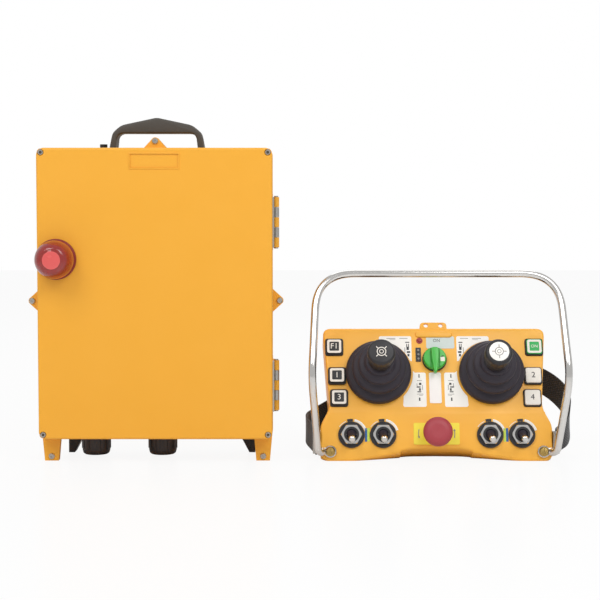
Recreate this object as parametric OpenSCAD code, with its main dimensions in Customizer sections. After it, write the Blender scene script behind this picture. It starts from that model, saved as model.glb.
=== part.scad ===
// Crane radio remote control: a wall-box receiver with a hinged lid, and a belly-box
// transmitter with two joysticks, standing side by side on one floor.
// X runs to the right, Y to the back, Z up. The origin is the middle of the pair, on the floor.

/* [Layout] */
// Centre of the receiver, left of the origin
receiver_x = 196.5; // [190:1:280]
// Centre of the transmitter, right of the origin
transmitter_x = 173.5; // [165:1:280]
// How far the lid's front face stands in front of the origin
receiver_front = 66; // [40:1:90]
// How far the transmitter's folded edge stands in front of the origin
transmitter_front = 55; // [30:1:80]

/* [Receiver lid] */
// Width of the lid
lid_w = 306; // [280:1:320]
// Height of the lid
lid_h = 380; // [340:1:420]
// Depth of the lid
lid_depth = 25; // [20:1:32]
// Wall of the lid
lid_wall = 3; // [2.5:0.1:4]
// Radius of the lid's corners, seen from the front
lid_corner_r = 10; // [8:0.5:14]
// Rounding of the lid's front edge
lid_edge_r = 3; // [2:0.25:3.5]

/* [Receiver case] */
// Depth of the case behind the lid
case_depth = 95; // [80:1:120]
// Wall of the case
case_wall = 3.5; // [3:0.1:5]
// How far the case body is set in from the lid's rim
case_inset = 6; // [5:0.5:8]
// Depth of the case's front flange
flange_depth = 7; // [6:0.5:10]
// Height of the lid's bottom edge above the floor
leg_h = 32; // [28:1:40]
// Width of a front leg where it leaves the flange
leg_w = 25; // [20:1:32]
// Distance from the lid's side to the middle of a front leg
leg_inset = 13; // [12.5:0.5:28]
// Distance from the lid's side to the back's mounting holes
back_hole_inset_x = 53; // [33:1:73]
// Distance from the lid's top and bottom to the back's mounting holes
back_hole_inset_z = 40; // [30:1:60]
// Radius of the back's mounting holes
back_hole_r = 3.4; // [2.5:0.1:4]

/* [Carry handle] */
// Distance between the outer sides of the handle's feet
handle_w = 129; // [110:1:150]
// Height of the handle above the lid's top edge
handle_rise = 41; // [36:1:50]
// Width of the handle's grip, front to back
handle_depth = 30; // [24:1:36]

/* [Cable glands] */
// Radius of the gland's threaded body
gland_r = 15.9; // [14:0.1:18]
// Radius of the gland's ribbed nut
gland_nut_r = 19.5; // [18.5:0.1:22]
// Bore of the gland's seal, which takes the cable
gland_bore_r = 6.5; // [5:0.25:8]
// Distance between the two glands
gland_spacing = 90; // [70:1:110]

/* [Hinges] */
// Length of one hinge
hinge_l = 66; // [50:1:80]
// Radius of a hinge knuckle
knuckle_r = 4; // [3.5:0.1:4.5]
// Radius of the hinge pin
hinge_pin_r = 1.75; // [1.5:0.05:2]

/* [Alarm lamp] */
// Radius of the lamp's lens
lamp_r = 25; // [20:0.5:28]
// Height of the lens above its base
lamp_h = 34; // [28:0.5:40]

/* [Transmitter body] */
// Lean of the panel, back from upright
lean = 25; // [22:0.5:28]
// Half of the panel's width at its lower corners
panel_half_w = 154; // [150:0.5:160]
// Height of the panel along its face
panel_h = 184; // [176:1:190]
// Depth of the body behind the panel
body_depth = 85; // [80:1:95]
// Wall of both shells
shell_wall = 3; // [2.5:0.1:3.5]
// Depth of the seam between panel shell and base shell
seam_depth = 28; // [24:1:32]
// Distance from the belly edge to the fold between the two decks
fold_v = 62; // [58:1:66]
// Angle of the lower deck to the upper deck
fold_angle = 9.5; // [6:0.5:12]

/* [Guard bar] */
// Radius of the guard's tube
guard_r = 5; // [4:0.25:6]
// Height of the guard above the upper deck
guard_h = 87; // [80:1:100]
// Half of the guard's width at its crossbar
guard_half_w = 159; // [150:1:170]
// Distance of the crossbar from the belly edge
guard_reach = 228; // [215:1:240]

/* [Joysticks] */
// Distance between the two joysticks
stick_spacing = 152; // [144:1:156]
// Place of the joysticks, as a share of the upper deck's height above the fold
stick_share = 0.467; // [0.43:0.005:0.5]
// Height of a stick's top above the deck
stick_h = 88; // [80:1:96]
// Radius of a stick's grip
stick_grip_r = 18; // [15:0.5:19]
// Radius of a boot's foot
boot_r = 44; // [40:0.5:45]

/* [Switches] */
// Side of a push button's cap
button_side = 19; // [17:0.5:19.5]
// Travel of a push button
button_travel = 2.5; // [1.5:0.1:3]
// Radius of the emergency stop's head
estop_r = 19.6; // [18:0.2:21]
// Travel of the emergency stop
estop_travel = 4.5; // [3:0.5:5]
// Radius of the rotary key knob
key_r = 15.5; // [14:0.5:17]
// Throw of a toggle lever, from down to up
toggle_throw = 40; // [24:1:42]
// Width of a toggle's nut across its corners
toggle_nut_d = 28.6; // [26:0.2:30]

/* [Hidden] */
$fn = 64;
over = 1;                    // overrun of a cut past the face that it leaves
weld = 0.1;                  // overlap of two shapes of one solid
rest_gap = 0.1;              // clearance between a piece and the one that it rests on
run_gap = 0.05;              // radial clearance of a pin that turns in its bore
fit_gap = 0.3;               // clearance between neighbours that don't touch
screw_r = 2;                 // radius of a small screw's shank
screw_head_r = 4;
screw_head_h = 2.4;
screw_chamfer = 1;
screw_past = 4;              // how far a through screw reaches past what it holds
moulded_r = 3;               // upright corners of mouldings, from large to small
small_r = 2;
tiny_r = 1;
yellow = "#F6A81C";
black = "#26262A";
steel = "#C9C9C6";

// Receiver places
lid_bottom = leg_h;
lid_top = leg_h + lid_h;
case_w = lid_w - 2 * case_inset;
case_h = lid_h - 2 * case_inset;
case_bottom = lid_bottom + case_inset;
case_top = case_bottom + case_h;
gasket_gap = 0.5;            // running gap between the lid's rim and the case's flange
flange_front = lid_depth + gasket_gap;
case_back = flange_front + case_depth;
cavity_w = case_w - 2 * case_wall;
cavity_h = case_h - 2 * case_wall;
floor_in = case_back - case_wall;
case_corner_r = 5;
case_edge_r = case_corner_r / 2;
leg_spacing = lid_w - 2 * leg_inset;
back_hole_span_x = lid_w - 2 * back_hole_inset_x;
back_hole_span_z = lid_h - 2 * back_hole_inset_z;
gland_y = flange_front + case_depth / 2;
gland_shift = -0.137 * lid_w; // middle of the two glands, from the receiver's centre

// Transmitter places
half_depth_v = (body_depth - fold_v * tan(fold_angle)) * tan(lean);
fold_drop = fold_v * tan(fold_angle);
lift_z = fold_drop * sin(lean);
deck_h = panel_h - fold_v;     // height of the upper deck
button_shares = [0.77, 0.435, 0.18];
button_rows = [for (share = button_shares) fold_v + share * deck_h];
stick_v = fold_v + stick_share * deck_h;

// Frames of the two units

module on_receiver() {
  translate([-receiver_x, -receiver_front, 0]) children();
}

// Deck frame: X across, Y up the upper deck, Z out of it
module on_transmitter() {
  translate([transmitter_x, -transmitter_front, lift_z]) rotate([90 - lean, 0, 0]) children();
}

// Lower deck frame: Y is negative down the lower deck, from the fold
module on_lower_deck() {
  translate([0, fold_v, 0]) rotate([fold_angle, 0, 0]) children();
}

// Shapes used by several pieces

// Box with rounded upright corners and a rounded front edge; it starts at y = 0
module soft_box(w, d, h, corner_r, edge_r) {
  translate([0, 0, corner_r]) linear_extrude(h - 2 * corner_r)
    front_profile(w, d, edge_r);
  translate([-(w / 2 - corner_r), 0, 0]) rotate([90, 0, 90]) linear_extrude(w - 2 * corner_r)
    side_profile(d, h, edge_r);
  for (x = [-1, 1], z = [corner_r, h - corner_r])
    translate([x * (w / 2 - corner_r), 0, z]) rotate([-90, 0, 0]) rotate_extrude()
      corner_profile(corner_r, d, edge_r);
}

module front_profile(w, d, e) {
  translate([-w / 2, e]) square([w, d - e]);
  translate([-w / 2 + e, 0]) square([w - 2 * e, 2 * e]);
  for (x = [-1, 1]) translate([x * (w / 2 - e), e]) circle(e);
}

module side_profile(d, h, e) {
  translate([e, 0]) square([d - e, h]);
  translate([0, e]) square([2 * e, h - 2 * e]);
  for (z = [e, h - e]) translate([e, z]) circle(e);
}

module corner_profile(r, d, e) {
  square([r - e, d]);
  translate([0, e]) square([r, d - e]);
  translate([r - e, e]) circle(e);
}

// Upright plate with rounded corners, from y = 0 to d
module plate(w, d, h, r) {
  rotate([90, 0, 0]) translate([0, 0, -d]) linear_extrude(d) {
    translate([-w / 2 + r, 0]) square([w - 2 * r, h]);
    translate([-w / 2, r]) square([w, h - 2 * r]);
    for (x = [-1, 1], z = [r, h - r]) translate([x * (w / 2 - r), z]) circle(r);
  }
}

// Cylinder along Y, from y = 0 to l
module rod_y(r, l) {
  rotate([-90, 0, 0]) cylinder(r = r, h = l);
}

// Square plate with rounded corners, centred, from z = 0 up
module pad(w, h, t, r) {
  linear_extrude(t) {
    square([w - 2 * r, h], center = true);
    square([w, h - 2 * r], center = true);
    for (x = [-1, 1], y = [-1, 1]) translate([x * (w / 2 - r), y * (h / 2 - r)]) circle(r);
  }
}

// Points of a rounded corner at b, between a and c
function unit(v) = v / norm(v);
function bend(a, b, c, reach, n = 4) =
  let (s = b + unit(a - b) * reach, e = b + unit(c - b) * reach)
  [for (i = [0 : n]) let (t = i / n) (1 - t) * (1 - t) * s + 2 * t * (1 - t) * b + t * t * e];

// Outline or path with every inner corner rounded by its own reach
function soften(points, reaches, n = 4) = concat(
  [points[0]],
  [for (i = [1 : len(points) - 2]) each bend(points[i - 1], points[i], points[i + 1], reaches[i], n)],
  [points[len(points) - 1]]);

// Closed tube through rings of points that all have the same count
module sweep(rings) {
  n = len(rings[0]);
  last = len(rings) - 1;
  polyhedron(
    points = [for (r = rings) each r],
    faces = concat(
      [for (i = [1 : n - 2]) [0, i, i + 1]],
      [for (k = [0 : last - 1], i = [0 : n - 1], half = [0, 1])
        let (j = (i + 1) % n)
        half == 0 ? [k * n + i, (k + 1) * n + i, k * n + j] : [k * n + j, (k + 1) * n + i, (k + 1) * n + j]],
      [for (i = [1 : n - 2]) [last * n, last * n + i + 1, last * n + i]]));
}

function tangent(path, i) = unit(path[min(i + 1, len(path) - 1)] - path[max(i - 1, 0)]);

// Rings of a round tube along a path; no stretch of the path may run along the side vector
function tube_rings(path, r, side, n) = [for (i = [0 : len(path) - 1])
  let (t = tangent(path, i), a = unit(cross(t, side)), b = cross(t, a))
  [for (k = [0 : n - 1]) path[i] + r * (cos(360 * k / n) * a + sin(360 * k / n) * b)]];

// Receiver: case

module lug(tip_r, reach, base_w, d) {
  rotate([90, 0, 0]) translate([0, 0, -d]) linear_extrude(d) {
    polygon([[-base_w / 2, -lug_root], [base_w / 2, -lug_root], [base_w / 2, 0],
      [tip_r * 0.8, reach - tip_r * 0.4], [-tip_r * 0.8, reach - tip_r * 0.4], [-base_w / 2, 0]]);
    translate([0, reach - tip_r]) circle(tip_r);
  }
}
lug_root = 3;
lug_tip_r = 5;
lug_reach = 14;
lug_base_w = 30;
lug_depth = 8;
lug_hole_r = 2.2;
side_lug_z = lid_bottom + 0.475 * lid_h;

// Ears at the top, left and right edges; the lid has only the first two
module ears(d, with_right) {
  translate([0, 0, lid_top]) lug(lug_tip_r, lug_reach, lug_base_w, d);
  translate([-lid_w / 2, 0, side_lug_z]) rotate([0, -90, 0]) lug(lug_tip_r, lug_reach, lug_base_w, d);
  if (with_right)
    translate([lid_w / 2, 0, side_lug_z]) rotate([0, 90, 0]) lug(lug_tip_r, lug_reach, lug_base_w, d);
}

module ear_holes(r, l, with_right) {
  translate([0, 0, lid_top + lug_reach - lug_tip_r]) rod_y(r, l);
  translate([-lid_w / 2 - lug_reach + lug_tip_r, 0, side_lug_z]) rod_y(r, l);
  if (with_right) translate([lid_w / 2 + lug_reach - lug_tip_r, 0, side_lug_z]) rod_y(r, l);
}

corner_screw_inset = 6;
module at_lid_corners() {
  for (x = [-1, 1], z = [lid_bottom + corner_screw_inset, lid_top - corner_screw_inset])
    translate([x * (lid_w / 2 - corner_screw_inset), 0, z]) children();
}

leg_foot_w = 0.72 * leg_w;
leg_depth = 12;
leg_screw_z = 6;
module front_legs() {
  for (x = [-1, 1]) translate([x * leg_spacing / 2, flange_front, 0])
    rotate([90, 0, 0]) translate([0, 0, -leg_depth]) linear_extrude(leg_depth)
      polygon([[-leg_foot_w / 2, 0], [leg_foot_w / 2, 0],
        [leg_w / 2, leg_h + case_inset + over], [-leg_w / 2, leg_h + case_inset + over]]);
}

back_boss_r = 9;
back_boss_l = 14;
back_hole_l = 12;
module at_back_holes() {
  for (x = [-1, 1], z = [-1, 1])
    translate([x * back_hole_span_x / 2, case_back, (lid_bottom + lid_top) / 2 + z * back_hole_span_z / 2])
      children();
}

board_side_gap = 23.5;       // from the case's inner wall to the board
board_low_gap = 66.5;        // room for the cables under the board
board_top_gap = 44.5;
board_w = cavity_w - 2 * board_side_gap;
board_h = cavity_h - board_low_gap - board_top_gap;
board_t = 1.6;
board_z = case_bottom + case_wall + board_low_gap;
standoff_h = 10;
standoff_r = 4;
board_hole_inset = 8;
board_front = floor_in - standoff_h - board_t;
module at_board_corners() {
  for (x = [-1, 1], z = [board_z + board_hole_inset, board_z + board_h - board_hole_inset])
    translate([x * (board_w / 2 - board_hole_inset), 0, z]) children();
}

handle_foot_w = 16;
handle_foot_t = 4;
handle_foot_over = 3;        // how far a foot reaches past the grip's width
handle_screw_y = 0.3 * handle_depth;
handle_setback = 30;         // from the case's flange to the middle of the handle
handle_y = flange_front + handle_setback;
module at_handle_feet() {
  for (x = [-1, 1]) translate([x * (handle_w / 2 - handle_foot_w / 2), handle_y, case_top]) children();
}

hinge_pad_margin = 4;
hinge_pad_h = hinge_l + 2 * hinge_pad_margin;
hinge_shares = [0.094, 0.659]; // lower ends of the hinges, as shares of the lid's height
hinge_zs = [for (share = hinge_shares) lid_bottom + share * lid_h + hinge_l / 2];
hinge_offset = 4.5;          // from the lid's side to the pin's axis
hinge_axis_x = lid_w / 2 + hinge_offset;
hinge_leaf_t = 2;
hinge_leaf_d = 20;
knuckles = 5;
knuckle_gap = 0.3;

antenna_r = 5;
antenna_nut_past = 3;        // how far the nut reaches past the socket
antenna_gap = 1.552;         // from the handle's foot to the nut
antenna_x = -handle_w / 2 - antenna_gap - antenna_nut_past - antenna_r;

gasket_w = 3;
gasket_t = 2;
gasket_proud = 0.2;
module gasket_ring(w, t) {
  difference() {
    translate([0, 0, lid_bottom + gasket_in]) plate(lid_w - 2 * gasket_in, t, lid_h - 2 * gasket_in,
      lid_corner_r - gasket_in);
    translate([0, -over, lid_bottom + gasket_in + w])
      plate(lid_w - 2 * gasket_in - 2 * w, t + 2 * over, lid_h - 2 * gasket_in - 2 * w,
        lid_corner_r - gasket_in - w);
  }
}
gasket_in = 0.6;

module receiver_case() {
  color(yellow) on_receiver() difference() {
    union() {
      translate([0, flange_front, lid_bottom]) plate(lid_w, flange_depth, lid_h, lid_corner_r);
      translate([0, case_back, case_bottom]) mirror([0, 1, 0])
        soft_box(case_w, case_depth - flange_depth / 2, case_h, case_corner_r, case_edge_r);
      translate([0, flange_front, 0]) ears(lug_depth, true);
      front_legs();
      for (z = hinge_zs) translate([lid_w / 2 - case_inset - over, flange_front, z - hinge_pad_h / 2])
        cube([case_inset + over, hinge_leaf_d + lug_root, hinge_pad_h]);
    }
    translate([0, flange_front - over, case_bottom + case_wall])
      plate(cavity_w, case_depth - case_wall + over, cavity_h, case_corner_r - case_wall);
    translate([0, flange_front - gasket_proud, 0]) gasket_ring(gasket_w, gasket_t);
    translate([0, flange_front - over, 0]) ear_holes(lug_hole_r, lug_depth + 2 * over, true);
    for (x = [-1, 1]) translate([x * leg_spacing / 2, flange_front - over, leg_screw_z])
      rod_y(screw_r + fit_gap, leg_depth + 2 * over);
    for (x = [-1, 1]) translate([x * gland_spacing / 2 + gland_shift, gland_y, case_bottom - over])
      cylinder(r = gland_r + run_gap, h = case_wall + 2 * over);
    translate([antenna_x, gland_y, case_top - case_wall - over])
      cylinder(r = antenna_r + run_gap, h = case_wall + 2 * over);
    at_handle_feet() for (y = [-1, 1]) translate([0, y * handle_screw_y, -case_wall - over])
      cylinder(r = screw_r + run_gap, h = case_wall + 2 * over);
    at_back_holes() translate([0, -case_wall - over, 0]) rod_y(back_hole_r, case_wall + 2 * over);
  }
  color(yellow) on_receiver() {
    at_back_holes() translate([0, -back_boss_l, 0]) difference() {
      rod_y(back_boss_r, back_boss_l - case_wall);
      translate([0, back_boss_l - back_hole_l, 0]) rod_y(back_hole_r, back_hole_l);
    }
    at_board_corners() translate([0, floor_in - standoff_h, 0]) difference() {
      rod_y(standoff_r, standoff_h);
      translate([0, -over, 0]) rod_y(screw_r + run_gap, standoff_h);
    }
  }
}

foot_w = 8;
foot_depth = 24;
foot_flare = 26;
foot_margin = 2;             // from the foot to the case's back
foot_y = case_back - foot_depth - foot_margin;
foot_plate_t = 4;
module rear_feet() {
  color(black) on_receiver() for (x = [-1, 1])
    mirror([x < 0 ? 1 : 0, 0, 0]) translate([leg_spacing / 2 - leg_w / 2 - foot_w, foot_y, 0]) {
      rotate([90, 0, 0]) translate([0, 0, -foot_depth]) linear_extrude(foot_depth)
        polygon([[foot_w, 0], [0, 0], [foot_w - foot_flare, case_bottom - foot_plate_t],
          [foot_w - foot_flare, case_bottom], [foot_w, case_bottom]]);
    }
}

handle_leg_t = 10;
handle_slope = 10;           // fall from the grip's middle to its shoulders
handle_edge_r = 2.5;
module carry_handle() {
  outer = handle_w / 2;
  shoulder = outer * 0.74;
  rise = handle_rise + case_inset;
  leg_t = handle_leg_t;
  low_side = rise - handle_slope;
  under = rise - handle_rise / 2;
  color(black) on_receiver() translate([0, handle_y, case_top]) difference() {
    union() {
      translate([0, handle_depth / 2, 0]) rotate([90, 0, 0]) linear_extrude(handle_depth)
        offset(r = handle_edge_r, $fn = 24) offset(delta = -handle_edge_r)
          polygon([[-outer, 0], [-shoulder, low_side], [0, rise], [shoulder, low_side], [outer, 0],
            [outer - leg_t, 0], [shoulder - leg_t, under], [leg_t - shoulder, under], [leg_t - outer, 0]]);
      for (x = [-1, 1]) translate([x * (outer - handle_foot_w / 2), 0, 0])
        pad(handle_foot_w, handle_depth + 2 * handle_foot_over, handle_foot_t, moulded_r);
    }
    for (x = [-1, 1], y = [-1, 1]) translate([x * (outer - handle_foot_w / 2), y * handle_screw_y, -over])
      cylinder(r = screw_r + run_gap, h = handle_foot_t + over);
  }
}

// Receiver: cable glands

gland_flange_r = 19;
gland_flange_h = 6;
gland_thread_l = 14;
gland_inside_l = 9;
gland_wall = 4;
module at_glands() {
  for (x = [-1, 1]) translate([x * gland_spacing / 2 + gland_shift, gland_y, case_bottom]) children();
}

module gland_bodies() {
  color(black) on_receiver() at_glands() difference() {
    union() {
      translate([0, 0, -gland_flange_h]) cylinder(r = gland_flange_r, h = gland_flange_h);
      translate([0, 0, -gland_flange_h - gland_thread_l]) cylinder(r = gland_r, h = gland_thread_l + over);
      cylinder(r = gland_r, h = case_wall + gland_inside_l);
    }
    translate([0, 0, -gland_flange_h - gland_thread_l - over])
      cylinder(r = gland_r - gland_wall, h = gland_flange_h + gland_thread_l + case_wall + gland_inside_l + 2 * over);
  }
}

gland_nut_gap = 1.5;
gland_tip_r = 12;
gland_mouth_r = 9;
gland_end = 2;               // height of the gland's lowest edge above the floor
gland_dome_h = 10;           // height of the nut's rounded end
gland_ribs = 12;
gland_rib_w = 4;
gland_rib_t = 1.6;
gland_rib_margin = 0.5;      // from a rib's end to the nut's shoulder
module gland_nuts() {
  top = -gland_flange_h - gland_nut_gap;
  low = gland_end - case_bottom;
  skirt = low + gland_dome_h;
  color(black) on_receiver() at_glands() difference() {
    union() {
      rotate_extrude() polygon([[0, top], [gland_nut_r - gland_rib_t / 2, top], [gland_nut_r - gland_rib_t / 2, skirt],
        [0.9 * gland_nut_r, skirt - 0.3 * gland_dome_h], [1.17 * gland_tip_r, low + 0.15 * gland_dome_h],
        [gland_tip_r, low], [0, low]]);
      for (i = [1 : gland_ribs]) rotate(i * 360 / gland_ribs)
        translate([gland_nut_r - gland_rib_t, -gland_rib_w / 2, skirt + gland_rib_margin])
          cube([gland_rib_t, gland_rib_w, top - skirt - 2 * gland_rib_margin]);
    }
    translate([0, 0, skirt - over]) cylinder(r = gland_r + run_gap, h = top - skirt + 2 * over);
    translate([0, 0, low - over]) cylinder(r = gland_mouth_r, h = skirt - low + over);
  }
}

gland_seal_r = 11.5;
gland_seal_h = 12;
module gland_seals() {
  low = gland_end - case_bottom + gland_dome_h - over;
  color("dimgray") on_receiver() at_glands() translate([0, 0, low + fit_gap]) difference() {
    cylinder(r = gland_seal_r, h = gland_seal_h);
    translate([0, 0, -over]) cylinder(r = gland_bore_r, h = gland_seal_h + 2 * over);
  }
}

locknut_h = 6;
locknut_r = gland_nut_r + 1.5 * screw_chamfer;
module gland_locknuts() {
  color(black) on_receiver() at_glands() translate([0, 0, case_wall]) difference() {
    cylinder(r = locknut_r, h = locknut_h, $fn = 6);
    translate([0, 0, -over]) cylinder(r = gland_r + run_gap, h = locknut_h + 2 * over);
  }
}

// Receiver: hinges

// Knuckles along Z; case knuckles are the odd ones
module knuckle_row(case_side) {
  l = hinge_l / knuckles;
  for (i = [0 : knuckles - 1]) if ((i % 2 == 0) == case_side)
    translate([0, 0, i * l - hinge_l / 2 + knuckle_gap / 2]) children();
}

module hinge_leaf(case_side) {
  l = hinge_l / knuckles - knuckle_gap;
  side = case_side ? 1 : -1;
  for (z = hinge_zs) translate([hinge_axis_x, flange_front - gasket_gap / 2, z]) difference() {
    union() {
      translate([lid_w / 2 - hinge_axis_x, case_side ? knuckle_r + fit_gap : -hinge_leaf_d, -hinge_l / 2])
        cube([hinge_leaf_t, hinge_leaf_d - knuckle_r - fit_gap, hinge_l]);
      knuckle_row(case_side) {
        cylinder(r = knuckle_r, h = l);
        translate([lid_w / 2 - hinge_axis_x, case_side ? 0 : -knuckle_r - over, 0])
          cube([hinge_leaf_t, knuckle_r + over, l]);
      }
    }
    translate([0, 0, -hinge_l]) cylinder(r = hinge_pin_r + run_gap, h = 2 * hinge_l);
    for (k = [-1, 1]) translate([0, side * (hinge_leaf_d + knuckle_r) / 2, k * hinge_l / 4])
      rotate([0, -90, 0]) cylinder(r = screw_r + run_gap, h = knuckle_r + over);
  }
}

module hinge_case_leaves() {
  color(steel) on_receiver() hinge_leaf(true);
}

module hinge_lid_leaves() {
  color(steel) on_receiver() hinge_leaf(false);
}

pin_head_h = 1.5;
pin_head_r = hinge_pin_r + screw_chamfer;
module hinge_pins() {
  color(steel) on_receiver() for (z = hinge_zs) translate([hinge_axis_x, flange_front - gasket_gap / 2, z]) {
    translate([0, 0, -hinge_l / 2]) cylinder(r = hinge_pin_r, h = hinge_l);
    for (k = [0, 1]) translate([0, 0, k == 0 ? -hinge_l / 2 - pin_head_h : hinge_l / 2])
      cylinder(r = pin_head_r, h = pin_head_h);
  }
}

module case_gasket() {
  color("#3A3A3A") on_receiver() translate([0, flange_front - gasket_proud, 0]) gasket_ring(gasket_w, gasket_t);
}

// Screws with a domed head, along Y; the head is at y = 0
module cap_screw(l, head_r) {
  rod_y(screw_r, l);
  translate([0, -screw_head_h, 0]) rotate([-90, 0, 0]) difference() {
    rotate_extrude() polygon([[0, 0], [head_r - screw_chamfer, 0], [head_r, screw_chamfer], [head_r, screw_head_h],
      [0, screw_head_h]]);
    translate([0, 0, -over]) cylinder(r = head_r * 0.45, h = over + screw_head_h * 0.6, $fn = 6);
  }
}

module case_screws() {
  color(steel) on_receiver() {
    for (x = [-1, 1]) translate([x * leg_spacing / 2, flange_front, leg_screw_z])
      cap_screw(leg_depth + screw_past, screw_head_r);
    translate([lid_w / 2 + lug_reach - lug_tip_r, flange_front, side_lug_z]) cap_screw(lug_depth + screw_past, screw_head_r);
    at_board_corners() translate([0, board_front, 0]) cap_screw(board_t + 0.7 * standoff_h, 0.75 * screw_head_r);
    at_handle_feet() for (y = [-1, 1]) translate([0, y * handle_screw_y, -case_wall]) rotate([90, 0, 0])
      cap_screw(case_wall + 0.75 * handle_foot_t, screw_head_r);
  }
}

// Receiver: electronics

module board_holes(r) {
  at_board_corners() translate([0, board_front - over, 0]) rod_y(r, board_t + 2 * over);
}

module receiver_board() {
  color("#1E6B3A") on_receiver() difference() {
    translate([-board_w / 2, board_front, board_z]) cube([board_w, board_t, board_h]);
    board_holes(screw_r + run_gap);
  }
}

module on_board(share_x, share_z) {
  translate([share_x * board_w, board_front, board_z + share_z * board_h]) children();
}

// Block that stands on the board and is centred across and up
module component(w, d, h) {
  translate([-w / 2, -d, -h / 2]) cube([w, d, h]);
}

relay = [0.1 * board_w, 0.21 * case_depth, 0.064 * board_h]; // width, depth, height
relay_row_shares = [0.28, 0.416];
relay_vent_r = 1.2;
module relays() {
  color("#3B6FB5") on_receiver() for (row = relay_row_shares, i = [-3 : 3]) on_board(0.121 * i, row) difference() {
    component(relay[0], relay[1], relay[2]);
    translate([0, -relay[1] - over, 0]) rod_y(relay_vent_r, 1 + over);
  }
}

terminal_pitch = 0.0417 * board_w;
terminals = 20;
terminal = [terminals * terminal_pitch, 0.168 * case_depth, 0.056 * board_h];
terminal_step = [0.105 * case_depth, 0.073 * board_h]; // depth and height of the lower step
terminal_hole_r = 2.2;
module terminal_blocks() {
  color("#2F8F57") on_receiver() on_board(0, 0.08) difference() {
    union() {
      component(terminal[0], terminal[1], terminal[2]);
      translate([0, 0, (terminal_step[1] - terminal[2]) / 2]) component(terminal[0], terminal_step[0], terminal_step[1]);
    }
    for (i = [1 : terminals]) translate([(i - (terminals + 1) / 2) * terminal_pitch, -terminal[1] - over, 0])
      rod_y(terminal_hole_r, terminal[1] / 4 + over);
  }
}

transformer = [0.275 * board_w, 0.4 * case_depth, 0.224 * board_h];
module power_transformer() {
  color("#5A5148") on_receiver() on_board(-0.29, 0.76) {
    component(transformer[0], transformer[1], transformer[2]);
    // Winding, which stands out of the core in front
    translate([0, -over, 0]) component(0.7 * transformer[0], 1.13 * transformer[1] - over, 0.7 * transformer[2]);
  }
}

radio_board = [0.29 * board_w, 2, 0.176 * board_h];
radio_can_d = 0.105 * case_depth;
radio_plug_r = 4;
module radio_module() {
  color("#B9BCC0") on_receiver() on_board(0.25, 0.78) {
    component(radio_board[0], radio_board[1], radio_board[2]);
    translate([-0.11 * radio_board[0], -over, 0])
      component(0.63 * radio_board[0], radio_can_d - over, 0.82 * radio_board[2]);
    translate([0.34 * radio_board[0], -1.2 * radio_can_d, 0]) rod_y(radio_plug_r, 1.2 * radio_can_d - over);
  }
}

antenna_inside_l = 8;
antenna_nut_h = 4;
antenna_h = 13;
antenna_plug_r = 3;
antenna_plug_l = 7;
module antenna_socket() {
  color(black) on_receiver() translate([antenna_x, gland_y, case_top]) {
    translate([0, 0, -case_wall - antenna_inside_l]) cylinder(r = antenna_r, h = case_wall + antenna_inside_l);
    cylinder(r = antenna_r + antenna_nut_past, h = antenna_nut_h, $fn = 6);
    difference() {
      cylinder(r = antenna_r, h = antenna_h);
      translate([0, 0, antenna_h - antenna_plug_l]) cylinder(r = antenna_plug_r, h = antenna_plug_l + over);
    }
  }
}

// Receiver: lid

label_w = 64;
label_h = 19.5;
label_sink = 0.8;
label_drop = 17;             // from the lid's top edge to the middle of the label's place
label_z = lid_top - label_drop;
lamp_x = -0.418 * lid_w;
lamp_z = lid_bottom + 0.62 * lid_h;
lamp_stub_r = 9;
lid_boss_r = 5;
module receiver_lid() {
  color(yellow) on_receiver() difference() {
    union() {
      difference() {
        translate([0, 0, lid_bottom]) soft_box(lid_w, lid_depth, lid_h, lid_corner_r, lid_edge_r);
        translate([0, lid_wall, lid_bottom + lid_wall])
          plate(lid_w - 2 * lid_wall, lid_depth, lid_h - 2 * lid_wall, lid_corner_r - lid_wall);
      }
      translate([0, lid_depth - lug_depth, 0]) ears(lug_depth, false);
      at_lid_corners() translate([0, lid_wall - over, 0]) rod_y(lid_boss_r, lid_depth - lid_wall + over);
    }
    translate([0, lid_depth - lug_depth - over, 0]) ear_holes(lug_hole_r, lug_depth + 2 * over, false);
    at_lid_corners() translate([0, -over, 0]) rod_y(screw_r + run_gap, lid_depth + 2 * over);
    at_lid_corners() translate([0, -over, 0]) rod_y(screw_head_r + fit_gap, screw_head_h + over);
    translate([0, -over, label_z - label_h / 2]) plate(label_w, over + label_sink, label_h, small_r);
    translate([lamp_x, -over, lamp_z]) rod_y(lamp_stub_r + run_gap, lid_wall + 2 * over);
  }
}

module lid_screws() {
  color(steel) on_receiver() {
    at_lid_corners() translate([0, screw_head_h, 0]) cap_screw(lid_depth - screw_head_h, screw_head_r);
    translate([0, lid_depth - lug_depth, lid_top + lug_reach - lug_tip_r]) cap_screw(lug_depth, screw_head_r);
    translate([-lid_w / 2 - lug_reach + lug_tip_r, lid_depth - lug_depth, side_lug_z])
      cap_screw(lug_depth, screw_head_r);
  }
}

lamp_base_h = 7;
lamp_base_r = lamp_r + 1.5;
lamp_stub_l = 6;             // how far the stub reaches behind the lid's wall
module alarm_lamp_base() {
  color("#7E1A14") on_receiver() translate([lamp_x, 0, lamp_z]) rotate([90, 0, 0]) {
    rotate_extrude() polygon([[0, 0], [lamp_base_r, 0], [lamp_base_r, 0.71 * lamp_base_h],
      [0.96 * lamp_r, lamp_base_h], [0, lamp_base_h]]);
    translate([0, 0, -lid_wall - lamp_stub_l]) cylinder(r = lamp_stub_r, h = lid_wall + lamp_stub_l);
  }
}

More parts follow.
